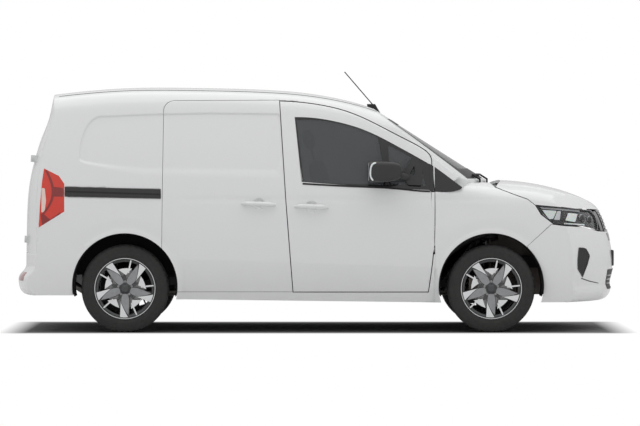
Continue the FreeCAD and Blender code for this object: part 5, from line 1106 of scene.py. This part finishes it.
# ---- carried-over solids get their finishes ----
for hand, side in HANDS:
    card = rounded([(-95, 1010), (560, 1000), (760, 930), (800, 640), (760, 470), (-40, 470), (-110, 640)], 60)
    skin("door_card_" + hand, "front_door_" + hand, "side", [card], 0.069, 0.008, dash_plastic, side=side, step=0.08)
    rest = rounded([(40, 880), (520, 880), (560, 830), (520, 800), (40, 800)], 24)
    skin("door_armrest_" + hand, "front_door_" + hand, "side", [rest], 0.074, 0.045, dash_plastic, side=side, step=0.08)
FINISHES = {"scuttle": trim, "grille": gloss_black, "slide_rail": trim, "firewall": black_paint,
            "floor_pan": mat_floor, "bulkhead": board, "front_springs": black_paint, "front_subframe": black_paint,
            "chassis_rails": under, "arch_liners": fleece, "engine": cast, "rear_axle": black_paint,
            "fuel_tank": trim, "exhaust": steel, "dashboard": dash_plastic, "steering_wheel": dash_plastic,
            "aerial": rubber, "wipers": rubber, "front_plate": trim, "knuckle_right": cast, "knuckle_left": cast,
            "seat_right": cloth, "seat_left": cloth, "mirror_right": trim, "mirror_left": trim,
            "headlamps": gloss_black, "tail_lamps": red_lens, "front_glass_right": side_glass,
            "front_glass_left": side_glass, "windscreen": screen_glass}
for name, stuff in FINISHES.items():
    mesh = nodes[name].data
    mesh.materials.clear()
    mesh.materials.append(stuff)
    mesh.polygons.foreach_set("use_smooth", [True] * len(mesh.polygons))
    mesh.set_sharp_from_angle(angle=math.radians(30))
lamp_mesh = nodes["tail_lamps"].data
lamp_mesh.materials.append(gloss_black)
for face in lamp_mesh.polygons:
    if face.normal.y * face.center.y < -0.3 * abs(face.center.y):
        face.material_index = 1
for end in ("front", "rear"):
    for side in ("right", "left"):
        for name, stuff in (("tyre", tyre_rubber), ("rim", rim_grey)):
            mesh = nodes["%s_%s_%s" % (name, end, side)].data
            mesh.materials.clear()
            mesh.materials.append(stuff)
            mesh.polygons.foreach_set("use_smooth", [True] * len(mesh.polygons))
            mesh.set_sharp_from_angle(angle=math.radians(30))


# ---- headlamps: black bowl, reflectors painted white as a painted reflection, light guides and a clear cover ----
LAMP = [(1618, 943), (1780, 936), (1955, 912), (2052, 903), (2090, 860), (2104, 800), (2106, 752), (1990, 784),
        (1915, 792), (1830, 797), (1746, 806), (1704, 834), (1660, 874)]
LAMP_PARTS = (
    ("brow", rounded([(1645, 930), (1780, 921), (1958, 903), (1956, 890), (1780, 908), (1664, 915)], 5),
     0.009, 0.006, 2),
    # the reflector takes the milky white look (4) in place of chrome: a painted reflection of the bright surroundings
    ("reflector", rounded([(1664, 909), (1774, 902), (1747, 842), (1716, 840)], 8), 0.012, 0.010, 4),
    ("block", rounded([(1778, 901), (1806, 899), (1796, 834), (1752, 836)], 6), 0.010, 0.014, 3),
    ("dark_block", rounded([(1810, 899), (1858, 896), (1834, 832), (1800, 834)], 6), 0.014, 0.012, 0),
    ("panel", rounded([(1862, 886), (1938, 877), (1916, 817), (1838, 830)], 8), 0.007, 0.012, 4),
    ("guide", rounded([(1826, 812), (1992, 800), (1990, 789), (1915, 795), (1830, 800)], 3), 0.002, 0.008, 4),
    ("foot", rounded([(1742, 832), (1822, 828), (1824, 800), (1750, 808)], 5), 0.007, 0.012, 0),
    ("lip", rounded([(1664, 880), (1672, 880), (1716, 832), (1752, 812), (1748, 806), (1704, 832)], 3), 0.004, 0.02, 2))
for hand, side in HANDS:
    skin("lamp_bowl_" + hand, "body", "side", [rounded(LAMP, 6)], 0.030, 0.004, gloss_black, side=side,
         replaces=["headlamps"] if side < 0 else [], slot="lamp_glass")
    inner = [(1632, 938), (1780, 930), (1953, 906), (2046, 897), (2083, 858), (2098, 800), (2099, 759), (1988, 790),
             (1915, 798), (1830, 803), (1750, 812), (1710, 838), (1668, 876)]
    skin("lamp_rim_" + hand, "body", "side", [rounded(LAMP, 6), rounded(inner, 4)], 0.001, 0.030, gloss_black,
         side=side)
    looks = {0: gloss_black, 2: rim_grey, 3: chrome, 4: milky_white_and_painted_reflection}
    for part, shape, inset, depth, look in LAMP_PARTS:
        skin("lamp_%s_%s" % (part, hand), "body", "side", [shape], inset, depth, looks[look], side=side, step=0.03)
    bm = bmesh.new()
    for cx, cz, radius in ((1.974, 0.838, 0.036), (2.036, 0.828, 0.030)):
        seat = on_body("side", cx, cz, side, 0.022)
        facing = (Vector((0.75, side * 0.66, 0))).normalized()
        turn = facing.to_track_quat("Y", "Z").to_matrix().to_4x4()
        part = bmesh.new()
        turned(part, [(0.0, 0.014), (radius * 0.35, 0.0135), (radius * 0.62, 0.010), (radius * 0.82, 0.004),
                      (radius * 0.84, 0.0)], 40, material_index=0)
        turned(part, [(radius * 0.84, 0.0), (radius * 0.90, 0.004), (radius, 0.005), (radius * 1.06, 0.0),
                      (radius * 1.08, -0.010), (0.0, -0.012)], 40, material_index=1)
        merge(bm, part, Matrix.Translation(seat) @ turn)
    shaped("lamp_projectors_" + hand, bm, "body", gloss_black, rim_grey, smooth=40)
    skin("lamp_cover_" + hand, "body", "side", [rounded(inner, 4)], 0.0008, 0.0025, clear_lens, side=side,
         slot="lamp_glass")

# ---- grille, lower intake and side intakes ----
def band(half, low, high, count=24):
    """A long box outline across the nose, in front view."""
    across = np.linspace(-half, half, count)
    return [(y, low) for y in across] + [(y, high) for y in across[::-1]]


skin("grille_mesh", "body", "front", [rounded(band(388, 742, 897), 6)], 0.010, 0.004, black_mesh_with_painted_holes, replaces=["grille"])
skin("grille_frame", "body", "front", [rounded(band(391, 738, 900), 8), rounded(band(376, 752, 889), 6)], 0.0005, 0.014,
     gloss_black)
for row, low in enumerate((767, 794, 821, 848, 872)):
    skin("grille_slat_%d" % row, "body", "front", [band(377, low, low + 9)], 0.005, 0.008, gloss_black)
for hand, side in HANDS:
    low, high = sorted((side * 390, side * 470))
    skin("grille_end_" + hand, "body", "front", [[(low, 746), (high, 746), (high, 892), (low, 892)]], 0.006, 0.004,
         gloss_black)
skin("grille_chin", "body", "front", [rounded([(-350, 728), (350, 728), (300, 668), (-300, 668)], 20)], -0.0015, 0.004,
     gloss_black)
skin("intake_mesh", "body", "front", [rounded([(-440, 445), (440, 445), (395, 318), (-395, 318)], 16)], -0.0012, 0.004,
     black_mesh_with_painted_holes)
skin("intake_frame", "body", "front", [rounded([(-455, 456), (455, 456), (405, 306), (-405, 306)], 22),
                                       rounded([(-436, 441), (436, 441), (392, 320), (-392, 320)], 16)], -0.003, 0.008,
     trim)
for row, low in enumerate((345, 375, 405)):
    skin("intake_slat_%d" % row, "body", "front", [band(405 + row * 10, low, low + 9)], -0.0025, 0.007, gloss_black)
KITE = [(1940, 629), (1978, 627), (2003, 618), (2032, 566), (2012, 500), (1972, 402), (1930, 470), (1930, 540)]
KITE_HOLE = [(1948, 622), (1977, 620), (1998, 612), (2024, 566), (2004, 500), (1971, 417), (1938, 472), (1938, 540)]
for hand, side in HANDS:
    skin("side_intake_" + hand, "body", "side", [rounded(KITE_HOLE, 6)], -0.0012, 0.004, black_mesh_with_painted_holes, side=side)
    skin("side_intake_rim_" + hand, "body", "side", [rounded(KITE, 8), rounded(KITE_HOLE, 6)], -0.004, 0.008,
         gloss_black, side=side)
    # a thin dark strip along the chin's crease: painted shade under the edge of the side blade
    skin("chin_painted_shade_line_" + hand, "body", "side", [[(1962, 402), (2030, 378), (2104, 359), (2106, 353), (2028, 371),
                                                  (1960, 395)]], -0.0008, 0.003, trim, side=side)

# ---- plates: a holder and a blank film at each end ----
bm = bmesh.new()
solid_box(bm, (2.2215, -0.262, 0.478), (2.2435, 0.262, 0.596), 0.004)
shaped("plate_holder_front", bm, "body", trim, replaces=["front_plate"])
bm = bmesh.new()
solid_box(bm, (2.2425, -0.254, 0.486), (2.2452, 0.254, 0.588), 0.0009)
shaped("plate_front", bm, "body", plate)
skin("plate_rear", "rear_door_left", "rear", [rounded([(70, 842), (590, 842), (590, 732), (70, 732)], 6)], -0.006,
     0.004, plate)
skin("plate_seat_rear", "rear_door_left", "rear", [rounded([(50, 862), (610, 862), (610, 716), (50, 716)], 18)], -0.002,
     0.006, trim)
skin("plate_lamp_rear", "rear_door_left", "rear", [rounded([(190, 905), (470, 905), (470, 868), (190, 868)], 10)],
     -0.014, 0.016, gloss_black)
bm = bmesh.new()
solid_box(bm, (-2.197, -0.072, 0.906), (-2.150, 0.052, 0.982), 0.012, segments=3)
solid_box(bm, (-2.202, -0.050, 0.926), (-2.190, 0.034, 0.962), 0.005)
shaped("rear_handle", bm, "rear_door_left", trim)
skin("high_brake_lamp", "body", "rear", [rounded([(-160, 1752), (160, 1752), (160, 1738), (-160, 1738)], 4)], -0.002,
     0.006, dark_red)

# ---- tail lamps: lens, light tube, pale strip and dark lower part ----
for hand, side in HANDS:
    tube_line = [(-2012, 1202), (-1962, 1064), (-1974, 972), (-2044, 868)]
    smooth_line = spread(tube_line, 14)
    edge = [(x + 9, z) for x, z in smooth_line] + [(x - 9, z) for x, z in smooth_line[::-1]]
    skin("tail_tube_" + hand, "body", "side", [edge], -0.0022, 0.006, dark_red, side=side)
    skin("tail_pale_" + hand, "body", "side", [rounded([(-2046, 1072), (-2022, 1070), (-2012, 980), (-2022, 896),
                                                        (-2046, 890)], 8)], -0.0015, 0.005, pale_lens, side=side)
    skin("tail_foot_" + hand, "body", "side", [rounded([(-2052, 880), (-2030, 880), (-1980, 838), (-1905, 893),
                                                        (-1905, 880), (-2040, 796)], 5)], -0.0015, 0.005, dark_red,
         side=side)
    band_line = rounded([(-1958, 1080), (-1886, 1072), (-1884, 1008), (-1962, 1010)], 8)
    skin("tail_band_" + hand, "body", "side", [band_line], -0.0018, 0.005, dark_red, side=side)
    low, high = sorted((side * 600, side * 830))
    skin("rear_reflector_" + hand, "body", "bumper", [rounded([(low, 446), (high, 446), (high, 382), (low, 382)], 12)],
         -0.0015, 0.005, dark_red)
    skin("parking_sensor_" + hand, "body", "bumper", [circle_at(side * 430, 500, 12)], -0.001, 0.003, trim)

# ---- mirrors: housing, indicator, glass and the loop-shaped foot ----
def mirror_piece(hand, side):
    """A door mirror: shell, indicator, glass, foot and arm."""
    door = "front_door_" + hand
    rings = []
    for x, grow, rise in ((0.3755, 0.90, 0.0), (0.378, 0.95, 0.0), (0.386, 0.985, 0.0), (0.400, 1.0, 0.0),
                          (0.450, 1.0, 0.0), (0.500, 0.98, 0.0), (0.545, 0.93, 0.001), (0.580, 0.84, 0.002),
                          (0.602, 0.70, 0.002), (0.614, 0.52, 0.001), (0.620, 0.28, 0.0)):
        ring = []
        for k in range(48):
            a = 2 * math.pi * k / 48
            c, s = math.cos(a), math.sin(a)
            power = 0.42
            y = math.copysign(abs(c) ** power, c) * 0.094 * grow
            z = math.copysign(abs(s) ** power, s) * 0.077 * grow
            ring.append(Vector((x, side * (0.975 + y), 1.192 + rise + z)))
        rings.append(ring)
    bm = bmesh.new()
    loft(bm, rings)
    bmesh.ops.remove_doubles(bm, verts=bm.verts, dist=1e-5)
    shaped("mirror_shell_" + hand, bm, door, trim, smooth=40, replaces=["mirror_" + hand])
    bm = bmesh.new()
    edge = spread([(430, 1259), (404, 1249), (391, 1222), (387, 1184), (392, 1150), (408, 1127)], 20)
    places = []
    for x, z in edge:
        reach = 0.0935 * (1.0 if x > 395 else 0.985)
        places.append(Vector((x / 1000, side * (0.975 + reach - 0.001), z / 1000)))
    tube(bm, places, [0.003] + [0.0065] * 18 + [0.003], 12, up=(0, 1, 0))
    shaped("mirror_indicator_" + hand, bm, door, milky_white_and_painted_reflection, smooth=40)
    bm = bmesh.new()
    solid_box(bm, (0.3735, min(side * 0.893, side * 1.057), 1.128), (0.3765, max(side * 0.893, side * 1.057), 1.256),
              0.0012)
    shaped("mirror_glass_" + hand, bm, door, chrome)
    outer = rounded([(696, 1294), (622, 1165), (671, 1096), (770, 1090), (777, 1244), (728, 1288)], 16)
    hole = rounded([(715, 1236), (680, 1176), (708, 1160), (724, 1184)], 6)
    skin("mirror_foot_" + hand, door, "side", [outer, hole], -0.026, 0.030, trim, side=side, step=0.04)
    bm = bmesh.new()
    start, end = on_body("side", 0.664, 1.150, side, -0.012), Vector((0.590, side * 0.925, 1.165))
    tube(bm, [start, start.lerp(end, 0.5) + Vector((0, side * 0.012, 0)), end], [0.026, 0.028, 0.034], 20)
    shaped("mirror_arm_" + hand, bm, door, trim, smooth=50)


for hand, side in HANDS:
    mirror_piece(hand, side)

# ---- the liners' ends; in front they reach over the wheel, with a lip that stays clear of the steered tyre ----
for end, ax in (("front", FRONT_AXLE), ("rear", REAR_AXLE)):
    for hand, side in HANDS:
        bm = bmesh.new()
        for start, stop in ((96 if end == "front" else 166, 192), (-12, 14)):
            rings = []
            for a in np.linspace(math.radians(start), math.radians(stop), 14):
                c, t = math.cos(a), math.sin(a)
                inner_lip = 0.034 * float(smooth_step(150, 132, math.degrees(a))) if start == 96 else 0.0
                rings.append([Vector((ax + r * c, side * y, WHEEL_Z + 0.020 + r * t))
                              for r, y in ((0.379, 0.875), (0.383, 0.875), (0.383, 0.60), (0.404, 0.60),
                                           (0.404, 0.594), (0.379 - inner_lip, 0.594))])
            loft(bm, rings)
        shaped("liner_ends_%s_%s" % (end, hand), bm, "body", fleece, smooth=40)

# ---- windscreen edge, roof joints, rail groove, fuel flap ----
skin("screen_edge", "body", "screen", [rounded([(-738, 1145), (-611, 1584), (611, 1584), (738, 1145)], 20),
                                       rounded([(-650, 1215), (-572, 1548), (572, 1548), (650, 1215)], 40)], -0.0008,
     0.003, frit, step=0.04, slot="window_glass")
for hand, side in HANDS:
    low, high = sorted((side * 634, side * 646))
    along = np.linspace(-1930, 440, 60)
    skin("roof_ditch_" + hand, "body", "top", [[(x, low) for x in along] + [(x, high) for x in along[::-1]]], -0.0012,
         0.004, rubber, step=0.05)
groove = [(-1866, 1052), (-1166, 1030), (-1166, 1018), (-1866, 1040)]
skin("rail_groove", "body", "side", [groove], -0.0066, 0.003, rubber, side=-1, step=0.05)
flap, flap_in = rounded([(-1700, 1010), (-1530, 1010), (-1530, 850), (-1700, 850)], 34), rounded(
    [(-1697, 1007), (-1533, 1007), (-1533, 853), (-1697, 853)], 32)
skin("fuel_flap_line", "body", "side", [flap, flap_in], -0.0004, 0.002, rubber, side=1, step=0.05)

# ---- cab: seats, dashboard, steering wheel and door linings ----
def swollen(made, cap):
    """Blows a closed cushion up a little as cloth under pressure, and keeps the result on the mesh."""
    mesh = made.data
    count = len(mesh.vertices)
    start = np.empty(count * 3)
    mesh.vertices.foreach_get("co", start)
    cloth_work = made.modifiers.new("Cloth", "CLOTH")
    cloth_work.settings.use_pressure = True
    cloth_work.settings.uniform_pressure_force = 4.0
    cloth_work.settings.effector_weights.gravity = 0.0
    scene = bpy.context.scene
    for frame_number in range(1, 15):
        scene.frame_set(frame_number)
    blown = bpy.data.meshes.new_from_object(made.evaluated_get(bpy.context.evaluated_depsgraph_get()))
    end = np.empty(count * 3)
    blown.vertices.foreach_get("co", end)
    bpy.data.meshes.remove(blown)
    move = (end - start).reshape(-1, 3)
    length = np.linalg.norm(move, axis=1, keepdims=True)
    move *= np.minimum(1.0, cap / np.maximum(length, 1e-9))
    mesh.vertices.foreach_set("co", (start + move.reshape(-1)))
    made.modifiers.remove(cloth_work)
    scene.frame_set(1)


def pad(name, half, matrix, crown, bolster, channels, replaces=()):
    """A cushion: rounded and crowned, drawn in between its corners, with sewn channels and a corded seam."""
    bm = bmesh.new()
    bmesh.ops.create_cube(bm, size=2.0)
    bmesh.ops.subdivide_edges(bm, edges=bm.edges[:], cuts=21, use_grid_fill=True)
    bm.verts.ensure_lookup_table()
    size, radius = Vector(half), 0.036
    seam = []
    for v in bm.verts:
        unit = v.co.copy()
        full = Vector([u * s for u, s in zip(unit, size)])
        core = Vector([max(-s + radius, min(s - radius, f)) for f, s in zip(full, size)])
        away = full - core
        place = core + away.normalized() * radius if away.length > 1e-9 else full
        bulge = (1 - unit.x ** 2) * (1 - unit.y ** 2)
        place.z += math.copysign(crown * bulge, unit.z) if abs(unit.z) > 0.999 else 0.0
        if unit.z > 0.999:
            place.z += bolster * float(smooth_step(0.62, 0.95, abs(unit.y)))
        place.x *= 1 - 0.03 * (1 - unit.y ** 2)
        place.y *= 1 - 0.03 * (1 - unit.x ** 2)
        if unit.z > 0.999 and max(abs(unit.x), abs(unit.y)) > 0.999:
            seam.append((math.atan2(unit.y, unit.x), v))
        v.co = place
    bm.verts.index_update()
    seam = [(angle, v.index) for angle, v in seam]
    mesh = bpy.data.meshes.new(name)
    bm.to_mesh(mesh)
    bm.free()
    mesh.materials.append(cloth)
    made = placed(name, mesh, "body", 0.0, replaces)
    mesh.polygons.foreach_set("use_smooth", [True] * len(mesh.polygons))
    swollen(made, 0.012)
    edge = [mesh.vertices[index].co.copy() for _, index in sorted(seam)]
    for v in mesh.vertices:
        if v.co.z > 0:
            for axis, at in channels:
                v.co.z -= 0.007 * math.exp(-((v.co[axis] - at) / 0.008) ** 2)
        v.co = matrix @ v.co
    bm = bmesh.new()
    bm.from_mesh(mesh)
    bmesh.ops.subdivide_edges(bm, edges=bm.edges[:], cuts=1, use_grid_fill=True, smooth=0.5)
    bm.to_mesh(mesh)
    bm.free()
    mesh.polygons.foreach_set("use_smooth", [True] * len(mesh.polygons))
    path = bpy.data.meshes.new("path")
    path.from_pydata([matrix @ (p + Vector((0, 0, 0.001))) for p in edge],
                     [(i, (i + 1) % len(edge)) for i in range(len(edge))], [])
    cord = grown(path, CORD, {"Radius": 0.0028, "Sides": 8, "Material": piping})
    placed(name + "_piping", cord, "body", 60.0)
    return made


# woven cord in the seat's seams: a shade lighter than the cloth
piping = material("seat_piping_cord", "#3A3B3E", 0.85, vary=("#2F3032", 0.02), bump=(0.001, 0.0003, 0.5))
LEAN = math.radians(-16)
for hand, side in HANDS:
    y = side * 0.395
    base_at = Matrix.Translation((0.370, y, 0.682))
    pad("seat_cushion_" + hand, (0.250, 0.238, 0.060), base_at, 0.010, 0.014,
        [(0, 0.06), (0, -0.10), (1, 0.15), (1, -0.15)], replaces=["seat_" + hand])
    stand = Matrix.Translation((0.149, y, 0.677)) @ Matrix.Rotation(LEAN, 4, "Y")
    turn = Matrix.Rotation(math.radians(90), 4, "Y")
    pad("seat_back_" + hand, (0.300, 0.238, 0.050), stand @ Matrix.Translation((0, 0, 0.322)) @ turn, 0.008, 0.014,
        [(0, -0.12), (0, 0.04), (1, 0.15), (1, -0.15)])
    pad("headrest_" + hand, (0.076, 0.122, 0.036), stand @ Matrix.Translation((0, 0, 0.785)) @ turn, 0.006, 0.0, [])
    bm = bmesh.new()
    for offset in (-0.0675, 0.0675):
        tube(bm, [stand @ Vector((0, offset, 0.60)), stand @ Vector((0, offset, 0.72))], 0.006, 16, material_index=1)
    solid_box(bm, (0.165, y - 0.190, 0.440), (0.570, y + 0.190, 0.622), 0.03, segments=3)
    for rail in (-0.165, 0.165):
        solid_box(bm, (0.155, y + rail - 0.020, 0.374), (0.585, y + rail + 0.020, 0.402), 0.004, material_index=1)
        solid_box(bm, (0.185, y + rail - 0.014, 0.400), (0.550, y + rail + 0.014, 0.445), 0.005, material_index=1)
    for cover in (-0.234, 0.234):
        solid_box(bm, (0.112, y + cover - 0.010, 0.630), (0.330, y + cover + 0.010, 0.735), 0.009)
    shaped("seat_base_" + hand, bm, "body", trim, black_paint, smooth=40)

bm = bmesh.new()
rings = []
for y in np.linspace(-0.700, 0.700, 71):
    hood = 0.034 * math.exp(-((y - 0.395) / 0.15) ** 4)
    middle = 0.012 * math.exp(-(y / 0.16) ** 4)
    end = 1 - 0.06 * float(smooth_step(0.66, 0.70, abs(y)))
    line = [(1.098, 0.795), (1.100, 0.94), (1.090, 1.062), (1.02, 1.078), (0.90, 1.080 + hood * 0.5),
            (0.79, 1.066 + hood), (0.724, 1.040 + hood), (0.706 - middle, 0.992), (0.690 - middle, 0.94),
            (0.716, 0.885), (0.775, 0.825), (0.83, 0.795)]
    rings.append([Vector((0.9 + (x - 0.9) * end, y, 0.94 + (z - 0.94) * end)) for x, z in through(line, 60)])
loft(bm, rings)
shaped("dashboard_pad", bm, "body", dash_plastic, smooth=40, replaces=["dashboard"])
bm = bmesh.new()
solid_box(bm, (0.730, -0.120, 0.375), (0.960, 0.120, 0.860), 0.03, segments=3)
solid_box(bm, (0.640, -0.110, 0.375), (0.760, 0.110, 0.560), 0.03, segments=3)
tube(bm, [(0.742, 0.0, 0.80), (0.700, 0.0, 0.845)], [0.030, 0.020], 20)
tube(bm, [(0.702, 0.0, 0.842), (0.668, 0.0, 0.880), (0.660, 0.0, 0.905)], [0.010, 0.017, 0.014], 20)
shaped("centre_console", bm, "body", dash_plastic, smooth=40)
bm = bmesh.new()
solid_box(bm, (0.664, -0.115, 0.955), (0.682, 0.115, 1.085), 0.006)
for y in (-0.62, -0.20, 0.20, 0.60):
    tube(bm, [(0.705, y, 0.985), (0.682, y, 0.983)], [0.044, 0.041], 32)
    slat = bmesh.new()
    solid_box(slat, (0.678, y - 0.034, 0.957), (0.684, y + 0.034, 0.960), 0.001)
    repeated(bm, slat, 5, (0.0, 0.0, 0.0125), (0.0, 0.0, 0.0), gloss_black)
shaped("dash_screen_and_vents", bm, "body", gloss_black, smooth=30)
bm = bmesh.new()
for y in (0.335, 0.455):
    turned(bm, [(0.0, 0.0), (0.043, 0.0), (0.046, 0.003), (0.047, 0.012), (0.0, 0.014)], 40, (0, 0, 0))
    bmesh.ops.transform(bm, matrix=Matrix.Translation((0.712, y, 1.040)) @ Matrix.Rotation(math.radians(90), 4, "Z"),
                        verts=[v for v in bm.verts if v.co.length < 0.06])
shaped("gauge_faces", bm, "body", gloss_black, smooth=30)

lie = Matrix.Translation((0.660, 0.395, 1.010)) @ Vector((math.cos(math.radians(26)), 0, -math.sin(math.radians(26)))
                                                        ).to_track_quat("Y", "Z").to_matrix().to_4x4()
bm = bmesh.new()
turned(bm, [(0.185 + 0.0145 * math.cos(a), 0.0145 * math.sin(a)) for a in np.linspace(0, 2 * math.pi, 16, False)], 96,
       closed=True)
turned(bm, [(0.0, -0.030), (0.040, -0.028), (0.058, -0.018), (0.064, 0.0), (0.055, 0.018), (0.026, 0.024),
            (0.026, 0.27), (0.0, 0.27)], 40)
for angle in (90, 210, 330):
    a = math.radians(angle)
    run = Vector((math.cos(a), 0, -math.sin(a)))
    tube(bm, [run * 0.05 + Vector((0, -0.006, 0)), run * 0.11, run * 0.178], [0.024, 0.015, 0.019], 14, flat=0.42,
         up=(0, 1, 0))
bmesh.ops.transform(bm, matrix=lie, verts=bm.verts)
shaped("steering_wheel_rim", bm, "body", dash_plastic, smooth=50, replaces=["steering_wheel"])


# ---- stage: floor, light and camera ----
def stage_floor():
    """A pale floor with a painted shadow: to the camera it is darkened under the van and within 0.22 m of its
    footprint, on top of the real shadow, and white further off.
    """
    mesh = bpy.data.meshes.new("floor")
    half = 60.0
    mesh.from_pydata([(-half, -half, 0), (half, -half, 0), (half, half, 0), (-half, half, 0)], [], [(0, 1, 2, 3)])
    floor = bpy.data.objects.new("floor", mesh)
    bpy.context.scene.collection.objects.link(floor)
    pale = bpy.data.materials.new("floor_with_painted_shadow")
    pale.use_nodes = True
    tree = pale.node_tree
    tree.nodes.clear()
    path = add(tree, "ShaderNodeLightPath")
    # painted shadow: the camera sees the floor with albedo 0.20, all other rays with 0.72
    painted_shadow_albedo = add(tree, "ShaderNodeMapRange", {"Value": (path, "Is Camera Ray"), "To Min": 0.72, "To Max": 0.20})
    base = add(tree, "ShaderNodeBsdfDiffuse", {"Color": (painted_shadow_albedo, 0)})
    coords = add(tree, "ShaderNodeTexCoord")
    # the mask: 0 inside the van's footprint, rising to 1 at 0.22 m past it; inside it the camera sees the darkened
    # floor as painted shadow, outside it plain white
    size = add(tree, "ShaderNodeVectorMath", {0: (coords, "Object")}, operation="ABSOLUTE")
    past = add(tree, "ShaderNodeVectorMath", {0: (size, 0), 1: (2.16, 0.88, 0.0)}, operation="SUBTRACT")
    out = add(tree, "ShaderNodeVectorMath", {0: (past, 0), 1: (0.0, 0.0, 0.0)}, operation="MAXIMUM")
    far = add(tree, "ShaderNodeVectorMath", {0: (out, 0)}, operation="LENGTH")
    reach = add(tree, "ShaderNodeMapRange", {"Value": (far, "Value"), "From Min": 0.0, "From Max": 0.22})
    share = add(tree, "ShaderNodeMath", {0: (reach, 0), 1: (path, "Is Camera Ray")}, operation="MULTIPLY")
    white = add(tree, "ShaderNodeEmission", {"Color": (1, 1, 1, 1), "Strength": 1.0})
    mix = add(tree, "ShaderNodeMixShader", {0: (share, 0), 1: (base, 0), 2: (white, 0)})
    add(tree, "ShaderNodeOutputMaterial", {"Surface": (mix, 0)})
    mesh.materials.append(pale)


def world_light():
    """A soft grey sky, white where the camera sees it."""
    world = bpy.data.worlds.new("studio")
    bpy.context.scene.world = world
    world.use_nodes = True
    tree = world.node_tree
    tree.nodes.clear()
    path = add(tree, "ShaderNodeLightPath")
    coords = add(tree, "ShaderNodeTexCoord")
    split = add(tree, "ShaderNodeSeparateXYZ", {"Vector": (coords, "Generated")})
    sky = ramp(tree, (split, "Z"), [(0.0, (0.62, 0.62, 0.62, 1)), (0.25, (0.78, 0.78, 0.78, 1)),
                                    (0.6, (0.80, 0.80, 0.80, 1)), (1.0, (0.86, 0.86, 0.86, 1))])
    soft = add(tree, "ShaderNodeBackground", {"Color": (sky, 0), "Strength": 0.9})
    white = add(tree, "ShaderNodeBackground", {"Color": (1, 1, 1, 1), "Strength": 1.0})
    mix = add(tree, "ShaderNodeMixShader", {0: (path, "Is Camera Ray"), 1: (soft, 0), 2: (white, 0)})
    add(tree, "ShaderNodeOutputWorld", {"Surface": (mix, 0)})


def area(name, place, aim, size, power):
    """A rectangular lamp."""
    lamp = bpy.data.lights.new(name, "AREA")
    lamp.shape = "RECTANGLE"
    lamp.size, lamp.size_y = size
    lamp.energy = power
    made = bpy.data.objects.new(name, lamp)
    bpy.context.scene.collection.objects.link(made)
    made.location = place
    made.rotation_euler = (Vector(aim) - Vector(place)).to_track_quat("-Z", "Y").to_euler()


stage_floor()
world_light()
area("overhead", (0, 0.0, 9.0), (0, 0, 0), (16.0, 12.0), 420.0)
CAMERA_AWAY = 28.6  # from the plane of the near wheels, where one pixel of the photograph is METRES_A_PIXEL
METRES_A_PIXEL = 0.007433
camera_data = bpy.data.cameras.new("camera")
camera = bpy.data.objects.new("camera", camera_data)
bpy.context.scene.collection.objects.link(camera)
camera_data.sensor_width = 36.0
camera_data.lens = camera_data.sensor_width * CAMERA_AWAY / (640 * METRES_A_PIXEL)
camera_data.clip_end = 200.0
camera.location = (-0.0715, -TRACK_HALF - CAMERA_AWAY, 1.300)
aim = Vector((0.017, -TRACK_HALF, 0.885))
camera.rotation_euler = (aim - camera.location).to_track_quat("-Z", "Y").to_euler()
bpy.context.scene.camera = camera
bpy.context.scene.view_settings.view_transform = "Standard"
